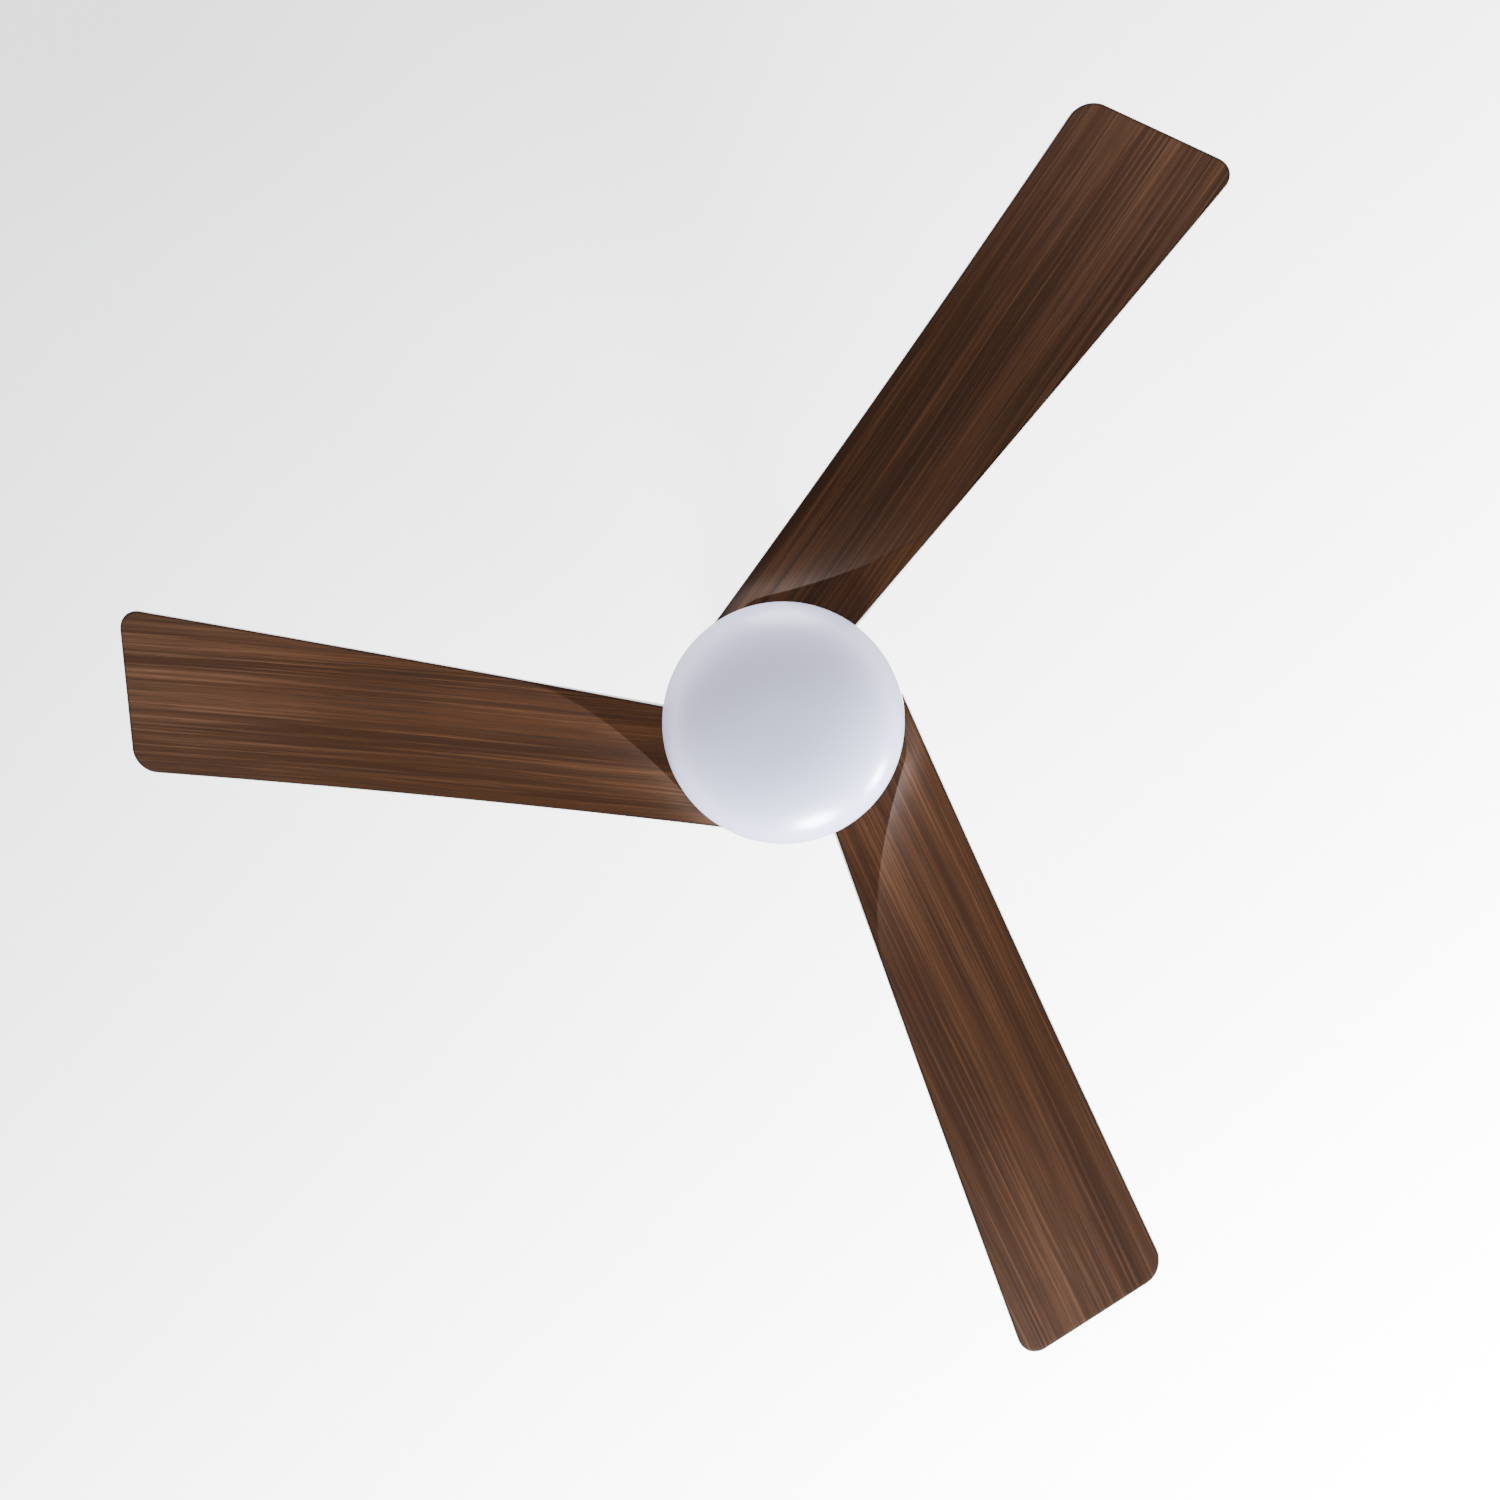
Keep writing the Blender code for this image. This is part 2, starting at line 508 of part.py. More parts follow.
def rotor(parent):
    """The turning can round the stator, with its magnets, bearings and the plate for the blades."""
    inner = ROTOR_R - CAN_WALL
    floor = ROTOR_BOTTOM + CAN_FLOOR
    upper = [(RIM_BORE_R, ROTOR_TOP), (ROTOR_R, ROTOR_TOP), (ROTOR_R, SPLIT_Z), (BOSS_R, SPLIT_Z),
             (BOSS_R, -0.2195), (SEAT_BORE, -0.2195), (SEAT_BORE, -0.2102), (RIM_BORE_R, -0.2102)]
    place("rotor_upper_shell", mesh_from(turned(upper, ROUND_INNER), "upper_shell"), "steel", parent)
    lower = [(RIM_BORE_R, ROTOR_BOTTOM), (ROTOR_R, ROTOR_BOTTOM), (ROTOR_R, SPLIT_Z - GAP), (inner, SPLIT_Z - GAP),
             (inner, floor), (BOSS_R, floor), (BOSS_R, -0.2405), (SEAT_BORE, -0.2405), (SEAT_BORE, -0.2493),
             (RIM_BORE_R, -0.2493)]
    shell = place("rotor_lower_shell", mesh_from(turned(lower, ROUND_INNER), "lower_shell"), "steel", parent)
    place("magnet_ring", mesh_from(tube(STATOR_R + 0.0007, inner - GAP, *MAGNET_Z, ROUND_INNER), "magnets"),
          "dark_steel", parent)
    place("bearing_upper", mesh_from(tube(*BEARING_R, -0.2190, -0.2105, ROUND_SMALL), "bearing"), "steel", parent)
    place("bearing_lower", mesh_from(tube(*BEARING_R, -0.2490, -0.2408, ROUND_SMALL), "bearing"), "steel", parent)
    plate = place("hub_plate", mesh_from(tube(0.030, HUB_PLATE_R, *HUB_PLATE_Z, ROUND_INNER), "hub_plate"),
                  "dark_steel", parent)
    spots = [polar(radius, heading + bolt, HUB_PLATE_Z[0]) for heading in blade_headings()
             for radius, bolt in BOLT_SPOTS]
    boolean(plate, "DIFFERENCE", joined([drill(BLADE_SCREW_HOLE_R, spot) for spot in spots]))
    hub_spots = [polar(HUB_SCREW_R, heading + 60, HUB_PLATE_Z[1]) for heading in blade_headings()]
    for obj in (plate, shell):
        boolean(obj, "DIFFERENCE", joined([drill(HUB_SCREW_HOLE_R, spot, reach=0.0095) for spot in hub_spots]))
    bolt = mesh_from(screw(0.0036, 0.0024, 0.0019, 0.0068), "hub_screw")
    for number, spot in enumerate(hub_spots, start=1):
        place(f"hub_screw_{number}", bolt, "steel", parent,
              Matrix.Translation((spot.x, spot.y, HUB_PLATE_Z[0] - GAP)))


# ---- blades -------------------------------------------------------------------------------------
def blade_headings():
    return [BLADE_FIRST_DEG + number * 360 / BLADE_COUNT for number in range(BLADE_COUNT)]


def trailing_y(x):
    """A line from root to tip, with a slight outward bow."""
    (x0, y0), (x1, y1) = TRAIL_ROOT, TRAIL_TIP
    s = (x - x0) / (x1 - x0)
    return y0 + s * (y1 - y0) + 4 * TRAIL_BOW * s * (1 - s)


def leading_y(x):
    """Nearly straight outboard, and swelling as a square towards the hub."""
    return LEAD_TIP[1] - LEAD_SWELL * ((LEAD_TIP[0] - x) / LEAD_TIP[0]) ** 2


def fold_y(x):
    """The fold in plan: a parabola inboard of its start, then a cubic out into the trailing edge."""
    (x0, y0), x1 = FOLD_START, FOLD_END_X
    span = x1 - x0
    end_slope = (trailing_y(x1 + 0.001) - trailing_y(x1)) / 0.001
    s = np.clip((x - x0) / span, 0, 1)
    cubic = ((2 * s**3 - 3 * s**2 + 1) * y0 + (s**3 - 2 * s**2 + s) * span * FOLD_SLOPE
             + (3 * s**2 - 2 * s**3) * trailing_y(x1) + (s**3 - s**2) * span * end_slope)
    inboard = y0 + (x - x0) * FOLD_SLOPE + FOLD_CURL * (x - x0) ** 2
    return np.where(x < x0, inboard, np.where(x > x1, trailing_y(x), cubic))


def leading_rise(x):
    """Height of the leading edge over the trailing edge: a shallow arch."""
    peak_x, peak = LEAD_PEAK
    return peak - (peak - LEAD_RISE_TIP) * ((x - peak_x) / (LEAD_TIP[0] - peak_x)) ** 2


def blade_rise(x, y):
    """Height of the underside over the trailing edge: nil on the flat root, then a hollow ramp up
    from the fold to the leading edge, steepest at the fold."""
    fold = np.maximum(fold_y(x), leading_y(x) + 0.004)
    across = np.clip((fold - y) / (fold - leading_y(x)), 0, 1)
    power = 1.15 + 0.35 * np.clip((0.45 - x) / 0.30, 0, 1)
    return leading_rise(x) * (1 - (1 - across) ** power)


def fold_fraction(x):
    """Where the row along the fold lies, from the trailing edge (0) to the leading edge (1)."""
    fold = (trailing_y(x) - fold_y(x)) / (trailing_y(x) - leading_y(x))
    outboard = np.clip((x - 0.25) / 0.15, 0, 1)
    return np.maximum(np.clip(fold, 0.02, 0.85), TIP_CORNER_R / TIP_CHORD * outboard**2 * (3 - 2 * outboard))


def row_fraction(x, band, level):
    """Each row lies in one of three bands: the flat side of the fold, the ramp, or the far edge."""
    first = fold_fraction(x)
    last = 1 - np.minimum(TIP_CORNER_R / TIP_CHORD, (1 - first) * 0.3)
    if band == "flat":
        return level * first
    if band == "ramp":
        return first + level * (last - first)
    return last + level * (1 - last)


def blade_row(band, level):
    """Plan positions of one row, from the round cut beside the housing out to the tip."""
    def y_at(x):
        return trailing_y(x) + (leading_y(x) - trailing_y(x)) * row_fraction(x, band, level)
    start = BLADE_CUT_R
    for _ in range(40):
        start = (start + math.sqrt(max(BLADE_CUT_R**2 - float(y_at(start))**2, 0.030**2))) / 2
    across = float(row_fraction(LEAD_TIP[0], band, level))
    tip = TRAIL_TIP[0] + (LEAD_TIP[0] - TRAIL_TIP[0]) * across
    to_edge = min(across, 1 - across) * TIP_CHORD
    if to_edge < TIP_CORNER_R:
        tip -= TIP_CORNER_R - math.sqrt(TIP_CORNER_R**2 - (TIP_CORNER_R - to_edge)**2)
    x = start + (tip - start) * BLADE_STATIONS
    return x, y_at(x)


def blade_skin():
    """A blade's closed skin: the underside, a top one thickness over it, and four sides."""
    rows = [blade_row(band, level) for band, level in BLADE_ROWS]
    x, y = np.array([row[0] for row in rows]), np.array([row[1] for row in rows])
    low = BLADE_Z + blade_rise(x, y)
    high = low + BLADE_T + (BLADE_TIP_T - BLADE_T) * np.clip((x - 0.13) / 0.5, 0, 1)
    spots = np.concatenate([np.stack([x, y, z], -1).reshape(-1, 3) for z in (low, high)])
    index = np.arange(x.size).reshape(x.shape)
    under = np.stack([index[:-1, :-1], index[1:, :-1], index[1:, 1:], index[:-1, 1:]], -1).reshape(-1, 4)
    rim = np.concatenate([index[0, :], index[1:, -1], index[-1, -2::-1], index[-2:0:-1, 0]])
    after = np.roll(rim, -1)
    sides = np.stack([rim, after, after + x.size, rim + x.size], -1)
    bm = bmesh.new()
    corners = [bm.verts.new(spot) for spot in spots]
    for quad in np.concatenate([under, under[:, ::-1] + x.size, sides]):
        bm.faces.new([corners[i] for i in quad])
    return bm


def blades(parent):
    """Three blades on one mesh, each with its retainer plate and three screws."""
    first = None
    bolt = mesh_from(screw(0.0042, 0.0028, 0.0022, 0.0130), "blade_screw")
    for number, heading in enumerate(blade_headings(), start=1):
        turn = about_z(heading)
        blade = place(f"blade_{number}", first or mesh_from(blade_skin(), "blade"), "walnut", parent, turn)
        first = blade.data
        tongue = extruded(sector(*TONGUE_R, *TONGUE_DEG), BLADE_Z + GAP, BLADE_Z + BLADE_T - 2 * GAP)
        boolean(blade, "UNION", moved(tongue, turn))
        plate = extruded(sector(*RETAINER_R, *RETAINER_DEG), RETAINER_LOW, BLADE_Z - GAP)
        retainer = place(f"blade_retainer_{number}", mesh_from(plate, "retainer", False), "dark_steel", parent, turn)
        spots = [polar(radius, heading + bolt_heading, BLADE_Z) for radius, bolt_heading in BOLT_SPOTS]
        for obj in (blade, retainer):
            boolean(obj, "DIFFERENCE", joined([drill(BLADE_SCREW_HOLE_R, spot) for spot in spots]))
        for letter, spot in zip("abc", spots):
            place(f"blade_screw_{number}{letter}", bolt, "steel", parent,
                  Matrix.Translation((spot.x, spot.y, RETAINER_LOW - GAP)))


# ---- light kit ----------------------------------------------------------------------------------
PLATE_Z = (-0.2705, -0.2690)
PAN_FLOOR = PAN_TOP - 0.0015
PAN_SCREW_R = 0.044
PAN_SCREW_HOLE_R = 0.0022
BAYONET_COUNT = 3
BAYONET_HEADING = 20.0
KEEPER_HALF_DEG = 11.0           # a twist of 30 degrees takes each lug clear of its keeper
LUG_HALF_DEG = 7.0
BOARD_R = (0.050, 0.092)
BOARD_LOW = PAN_FLOOR - 0.0019
DRIVER = ((0.017, -0.020, -0.285), (0.045, 0.020, PAN_FLOOR - GAP))
NUT = (0.0135, 0.0065)           # radius to its corners, and height


def bayonet_blocks(r_in, r_out, half_deg, z_low, z_high):
    """Three blocks of one ring, spread evenly."""
    headings = [BAYONET_HEADING + number * 360 / BAYONET_COUNT for number in range(BAYONET_COUNT)]
    return joined([extruded(sector(r_in, r_out, heading - half_deg, heading + half_deg), z_low, z_high)
                   for heading in headings])


def light_kit(parent):
    plate = place("light_plate", mesh_from(tube(FIT_R, 0.055, *PLATE_Z, ROUND_INNER), "light_plate"), "zinc",
                  parent)
    outline = [(FIT_R, PAN_FLOOR), (FIT_R, PAN_TOP), (PAN_R - PAN_BEVEL, PAN_TOP), (PAN_R, PAN_TOP - PAN_BEVEL),
               (PAN_R, PAN_BOTTOM), (PAN_R - PAN_WALL, PAN_BOTTOM), (PAN_R - PAN_WALL, PAN_FLOOR)]
    pan = place("light_pan", mesh_from(turned(outline, ROUND_LARGE), "light_pan"), "white", parent)
    boolean(pan, "UNION", bayonet_blocks(NECK_R[1] + 0.0005, PAN_R - 0.0008, KEEPER_HALF_DEG, *KEEPER_Z))
    spots = [polar(PAN_SCREW_R, heading, PAN_TOP) for heading in (60, 180, 300)]
    for obj in (plate, pan):
        boolean(obj, "DIFFERENCE", joined([drill(PAN_SCREW_HOLE_R, spot) for spot in spots]))
    bolt = mesh_from(screw(0.0035, 0.0022, 0.0018, 0.0032), "pan_screw")
    for number, spot in enumerate(spots, start=1):
        place(f"pan_screw_{number}", bolt, "steel", parent,
              Matrix.Translation((spot.x, spot.y, PAN_FLOOR - GAP)))
    nut_r, nut_h = NUT
    nut = [tuple(polar(nut_r, 60 * corner))[:2] for corner in range(6)]
    lock = place("shaft_nut", mesh_from(extruded(nut, PAN_FLOOR - nut_h, PAN_FLOOR - GAP), "nut", False), "zinc",
                 parent)
    boolean(lock, "DIFFERENCE", drill(FIT_R, (0, 0, PAN_FLOOR), sides=ROUND_SMALL))
    place("led_board", mesh_from(tube(*BOARD_R, BOARD_LOW, PAN_FLOOR - GAP, ROUND_INNER), "board"), "board", parent)
    place("led_driver", mesh_from(block(*DRIVER), "driver", False), "nylon", parent)
    # down the rod past the cross pin on one side and the clevis pin on the other, then down the shaft
    wire("wire_harness", [(0, -0.0056, -0.0215), (0, -0.0056, -0.0400), (0.0020, -0.0046, -0.0800),
                          (0.0046, -0.0022, -0.1300), (0.0054, 0, -0.1720), (0.0054, 0, -0.1880),
                          (0.0034, 0, -0.1945), (0.0030, 0, -0.2000), (0.0030, 0, -0.2790), (0.0036, 0, -0.2825),
                          (0.0060, 0, -0.2843), (0.0110, 0, -0.2840), (0.0164, 0, -0.2830)], LEAD_R, parent)


def diffuser(parent):
    """The opal dome: a neck with bayonet lugs, a shoulder, a bulging wall and a shallow bowl."""
    def wall(inset):
        """From the shoulder round the widest part to the lowest point."""
        upper = [(DOME_R - DOME_SHOULDER_IN - inset, DOME_SHOULDER_Z - inset * 0.9)]
        angles = np.linspace(0, math.pi / 2, 8)
        depth = DOME_WIDE_Z - DOME_BOTTOM - inset
        bowl = [((DOME_R - inset) * math.cos(a) ** DOME_FULLNESS, DOME_WIDE_Z - depth * math.sin(a))
                for a in angles[:-1]]
        return upper + bowl + [(0.0, DOME_BOTTOM + inset)]
    outline = [(NECK_R[0], NECK_TOP), (NECK_R[1], NECK_TOP), (NECK_R[1], DOME_SHOULDER_Z)]
    outline += wall(0.0) + wall(DOME_T)[::-1] + [(NECK_R[0], DOME_SHOULDER_Z - DOME_T)]
    dome = place("diffuser_dome", mesh_from(turned(outline, ROUND_LARGE), "dome"), "opal", parent)
    boolean(dome, "UNION", bayonet_blocks(NECK_R[0] + 0.0008, PAN_R - 0.0019, LUG_HALF_DEG, *LUG_Z))


# ---- assembly -----------------------------------------------------------------------------------
def main():
    for obj in list(bpy.data.objects):
        bpy.data.objects.remove(obj, do_unlink=True)
    mount = empty("ceiling_mount_axis", (0, 0, 0))
    swing_x = empty("swing_x_axis", (0, 0, BALL_Z), mount)
    swing_y = empty("swing_y_axis", (0, 0, BALL_Z), mount)
    spin = empty("rotor_axis", (0, 0, BLADE_Z), mount)
    slide = empty("cover_axis", (0, 0, HOUSING_TOP), mount)
    twist = empty("diffuser_axis", (0, 0, PAN_BOTTOM), mount)
    bpy.context.view_layer.update()
    ceiling_bracket(mount)
    mount_screws(mount)
    canopy(mount)
    receiver(mount)
    seat_liner(swing_x)
    hanger(swing_y)
    yoke(swing_y)
    motor_housing(swing_y)
    motor_still_parts(swing_y)
    light_kit(swing_y)
    coupling_cover(slide)
    rotor(spin)
    blades(spin)
    diffuser(twist)


main()
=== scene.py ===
# %% [markdown]
# # A ceiling fan with a dome light
#
# This notebook dresses a packed model of a three-blade ceiling fan. The packed model fixes every
# size and every joint. The cells below build finer surfaces over it and mix the finishes: walnut
# veneer, white paint, opal plastic, plated steel.
#
# Each cell makes one piece or one finish. The lesson before it says what the piece is on the real
# fan, which ways there are to make it, and why one was chosen.

# %% Load the packed model
import json
import math

import bmesh
import bpy
import numpy as np
from mathutils import Matrix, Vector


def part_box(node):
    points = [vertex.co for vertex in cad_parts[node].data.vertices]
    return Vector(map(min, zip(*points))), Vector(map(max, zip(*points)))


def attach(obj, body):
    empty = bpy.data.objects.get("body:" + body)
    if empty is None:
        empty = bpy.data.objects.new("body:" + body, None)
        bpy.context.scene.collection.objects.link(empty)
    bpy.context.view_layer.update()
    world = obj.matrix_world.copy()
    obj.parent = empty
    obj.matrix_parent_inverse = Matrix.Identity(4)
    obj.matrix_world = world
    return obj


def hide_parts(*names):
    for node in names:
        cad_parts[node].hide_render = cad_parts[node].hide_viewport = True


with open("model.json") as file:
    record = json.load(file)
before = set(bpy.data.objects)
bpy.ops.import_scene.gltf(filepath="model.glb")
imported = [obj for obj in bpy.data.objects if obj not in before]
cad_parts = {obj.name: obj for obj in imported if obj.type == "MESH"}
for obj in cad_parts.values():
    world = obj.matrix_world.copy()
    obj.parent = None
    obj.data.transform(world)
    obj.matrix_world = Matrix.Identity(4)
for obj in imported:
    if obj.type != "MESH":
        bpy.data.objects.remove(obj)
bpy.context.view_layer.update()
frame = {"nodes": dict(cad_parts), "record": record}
nodes = frame["nodes"]
bodies = frame["record"]["behaviour"]["bodies"]
print("bodies:", ", ".join(bodies))

# %% [markdown]
# ## Sizes
#
# A fan is laid out from the ceiling down. The few sizes that the surfaces need are read from the
# packed nodes, so a piece can't drift from the part it dresses. The rest, such as the way a blade
# is folded, is a short list of driving numbers.

# %% Sizes from the frame
def low_high(node):
    """The lowest and highest corner of a packed node, as two arrays."""
    low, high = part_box(node)
    return np.array(low), np.array(high)


def turned_size(node):
    """Outer radius, lowest and highest z of a node that is round about the fan's axis."""
    low, high = low_high(node)
    return (high[0] - low[0]) / 2, low[2], high[2]


HOUSING_R, HOUSING_LOW, HOUSING_TOP = turned_size("motor_housing")
DOME_R, DOME_LOW, DOME_TOP = turned_size("diffuser_dome")
PAN_R, PAN_LOW, PAN_TOP = turned_size("light_pan")
CANOPY_R, CANOPY_LOW, CANOPY_TOP = turned_size("canopy")
COVER_R, COVER_LOW, COVER_TOP = turned_size("coupling_cover")
ROD_R, ROD_LOW, ROD_TOP = turned_size("downrod")
BLADE_Z = low_high("blade_1")[0][2]
print(f"blades hang {-BLADE_Z:.3f} m under the ceiling; the dome's radius is {DOME_R:.4f} m")


# %% [markdown]
# ## Helpers for surfaces
#
# Everything here is a grid of points: rows and columns worked out at once with numpy, then handed
# to a mesh. Blender's own primitives would need dozens of edits to get a rolled rim or a folded
# blade. With a grid the shape is one formula, and the formula can be read.

# %% Surface helpers
MERGE_DISTANCE = 2e-6
SHARP_DEG = 28                   # faces that meet at more than this keep a crisp edge
FLATTEST_CORNER_DEG = 89         # half angles past this are as good as straight
FILLET_SHARE = 0.48              # the most of a side that one fillet may take


def mesh_object(name, points, faces, materials, face_slots=None, smooth=True, uv=None,
                values=None):
    """A mesh object at the origin, its place in its mesh. Doubles are merged first, then the
    normals are turned outwards. uv gives one pair for each point, and values gives named
    attributes, one number for each point."""
    mesh = bpy.data.meshes.new(name)
    mesh.from_pydata(points.tolist(), [], faces.tolist())
    if uv is not None:
        layer = mesh.uv_layers.new(name="UVMap")
        corner = np.zeros(len(mesh.loops), np.int32)
        mesh.loops.foreach_get("vertex_index", corner)
        layer.data.foreach_set("uv", np.asarray(uv, np.float32)[corner].ravel())
    for label, numbers in (values or {}).items():
        layer = mesh.attributes.new(label, "FLOAT", "POINT")
        layer.data.foreach_set("value", np.asarray(numbers, np.float32))
    for material in materials:
        mesh.materials.append(material)
    if face_slots is not None:
        mesh.polygons.foreach_set("material_index", np.asarray(face_slots, np.int32))
    work = bmesh.new()
    work.from_mesh(mesh)
    bmesh.ops.remove_doubles(work, verts=work.verts, dist=MERGE_DISTANCE)
    bmesh.ops.recalc_face_normals(work, faces=work.faces)
    work.to_mesh(mesh)
    work.free()
    if smooth:
        mesh.shade_smooth()
        mesh.set_sharp_from_angle(angle=math.radians(SHARP_DEG))
    obj = bpy.data.objects.new(name, mesh)
    bpy.context.scene.collection.objects.link(obj)
    return obj


def grid_faces(rows, columns, wrap=False):
    """Quads of a grid of points numbered row by row. Wrapping joins the last row to the first, and
    the last column to the first."""
    i = np.arange(rows if wrap else rows - 1)
    j = np.arange(columns if wrap else columns - 1)
    i, j = (a.ravel() for a in np.meshgrid(i, j, indexing="ij"))
    i2, j2 = (i + 1) % rows, (j + 1) % columns
    return np.stack([i * columns + j, i2 * columns + j, i2 * columns + j2, i * columns + j2], -1)


def rounded(corners, steps=6):
    """A closed outline of (radius, z) whose corners are filleted.

    Each corner is (radius, z, fillet). The fillet's arc touches both sides: it starts at
    fillet / tan(half the angle) from the corner, and its centre is on the angle's bisector."""
    spots = np.array([corner[:2] for corner in corners], float)
    sizes = [corner[2] for corner in corners]
    outline = []
    for i, fillet in enumerate(sizes):
        here, before, after = spots[i], spots[i - 1], spots[(i + 1) % len(spots)]
        a, b = before - here, after - here
        length_a, length_b = np.hypot(*a), np.hypot(*b)
        a, b = a / length_a, b / length_b
        half = math.acos(np.clip(a @ b, -1, 1)) / 2
        if fillet <= 0 or half > math.radians(FLATTEST_CORNER_DEG):
            outline.append(here[None])
            continue
        reach = min(fillet / math.tan(half), FILLET_SHARE * length_a, FILLET_SHARE * length_b)
        radius = reach * math.tan(half)
        centre = here + (a + b) / np.hypot(*(a + b)) * radius / math.sin(half)
        start, end = here + a * reach - centre, here + b * reach - centre
        turn = math.atan2(start[0] * end[1] - start[1] * end[0], start @ end)
        angles = np.linspace(0, turn, steps + 1)[:, None]
        side = np.array([-start[1], start[0]])
        outline.append(centre + start * np.cos(angles) + side * np.sin(angles))
    return np.concatenate(outline)


def turned(name, outline, sides, material):
    """A closed outline of (radius, z) turned about the fan's axis. Points on the axis meet in one
    when doubles are merged."""
    angle = np.arange(sides) * 2 * math.pi / sides
    x = outline[:, 0, None] * np.cos(angle)
    y = outline[:, 0, None] * np.sin(angle)
    z = np.repeat(outline[:, 1, None], sides, 1)
    points = np.stack([x, y, z], -1).reshape(-1, 3)
    return mesh_object(name, points, grid_faces(len(outline), sides, wrap=True), (material,))


print("a grid of 3 by 3 points has", len(grid_faces(3, 3)), "faces, and",
      len(grid_faces(3, 3, wrap=True)), "when it wraps")


# %% [markdown]
# ## Finishes: what repeats in all of them
#
# Paint, plastic and plated steel all break up the light a little: paint has a faint orange peel,
# moulded plastic a fine grain, plated steel a fine tooth. A picture texture could hold these, but
# it would have to be drawn and stored. A node group that mixes noise costs nothing to store, has
# no seams, and each finish sets its own scale on the group's sockets.

# %% Node group tools
def new_group(name, inputs, outputs):
    """An empty shader node group. inputs is (name, kind, default), outputs is (name, kind)."""
    group = bpy.data.node_groups.new(name, "ShaderNodeTree")
    for label, kind, default in inputs:
        socket = group.interface.new_socket(label, in_out="INPUT", socket_type=f"NodeSocket{kind}")
        if default is not None:
            socket.default_value = default
    for label, kind in outputs:
        group.interface.new_socket(label, in_out="OUTPUT", socket_type=f"NodeSocket{kind}")
    return group


class Wiring:
    """Adds nodes to a tree and links them in one line each."""

    def __init__(self, tree):
        self.tree = tree

    def node(self, kind, **settings):
        """A new node. settings are its properties, and sockets what goes into its inputs."""
        made = self.tree.nodes.new(f"ShaderNode{kind}")
        sockets = settings.pop("sockets", {})
        for key, value in settings.items():
            setattr(made, key, value)
        for key, value in sockets.items():
            self.feed(value, made.inputs[key])
        return made

    def feed(self, value, socket):
        """Links a socket to another, or sets it to a constant."""
        if isinstance(value, bpy.types.NodeSocket):
            self.tree.links.new(value, socket)
        else:
            socket.default_value = value

    def math(self, operation, a, b=0.0):
        """The result of one Math node."""
        made = self.tree.nodes.new("ShaderNodeMath")
        made.operation = operation
        self.feed(a, made.inputs[0])
        self.feed(b, made.inputs[1])
        return made.outputs[0]

    def mix(self, factor, a, b, blend="MIX"):
        """Two colours mixed. A Mix node keeps its colour sockets at 6 and 7."""
        made = self.tree.nodes.new("ShaderNodeMix")
        made.data_type = "RGBA"
        made.blend_type = blend
        self.feed(factor, made.inputs[0])
        self.feed(a, made.inputs[6])
        self.feed(b, made.inputs[7])
        return made.outputs[2]

    def noise(self, vector, scale, detail, roughness=0.5):
        """Smooth noise, about 0.5 on average."""
        made = self.node("TexNoise", sockets={"Vector": vector, "Scale": scale, "Detail": detail,
                                              "Roughness": roughness})
        return made.outputs["Fac"]

    def stretch(self, value, low, high, to_low=0.0, to_high=1.0):
        """A smooth step: to_low below low, to_high above high."""
        made = self.node("MapRange", interpolation_type="SMOOTHSTEP",
                         sockets={"Value": value, "From Min": low, "From Max": high, "To Min": to_low,
                                  "To Max": to_high})
        return made.outputs["Result"]


print("a wiring has", ", ".join(name for name in vars(Wiring) if not name.startswith("_")))

# %% [markdown]
# Fine skin: a noise at the scale of the finish's grain, for its bump, and a slow one for uneven
# gloss and tone. Both are read at the object's own coordinates, so they stay with the piece as it
# turns.

# %% Skin group
def build_skin_group():
    """The group's two noises: the fine one goes out as it is, the slow one as a soft mask."""
    group = new_group("fine_skin", [("Vector", "Vector", None), ("Grain Scale", "Float", 900.0),
                                    ("Patch Scale", "Float", 14.0)],
                      [("Height", "Float"), ("Patches", "Float")])
    w = Wiring(group)
    given, result = group.nodes.new("NodeGroupInput"), group.nodes.new("NodeGroupOutput")
    grain = w.noise(given.outputs["Vector"], given.outputs["Grain Scale"], detail=2.0, roughness=0.6)
    patches = w.noise(given.outputs["Vector"], given.outputs["Patch Scale"], detail=3.0, roughness=0.55)
    w.feed(grain, result.inputs["Height"])
    w.feed(w.stretch(patches, 0.3, 0.7), result.inputs["Patches"])
    return group


SKIN = build_skin_group()
print("group", SKIN.name, "has", len(SKIN.nodes), "nodes")


# %% [markdown]
# Walnut veneer: straight grain that runs along the blade. Real figure has three scales: bands a
# centimetre or more wide where the log's rings were cut, streaks two or three millimetres wide
# inside them, some light and some dark, and pores, which are short dark dashes. Each is noise
# squeezed hard across the grain. A slow wander bends all three together so that the lines aren't
# ruled.

# %% Walnut group
WANDER_ALONG, WANDER_ACROSS = 2.5, 8.0      # turns of the slow wander in a metre of veneer


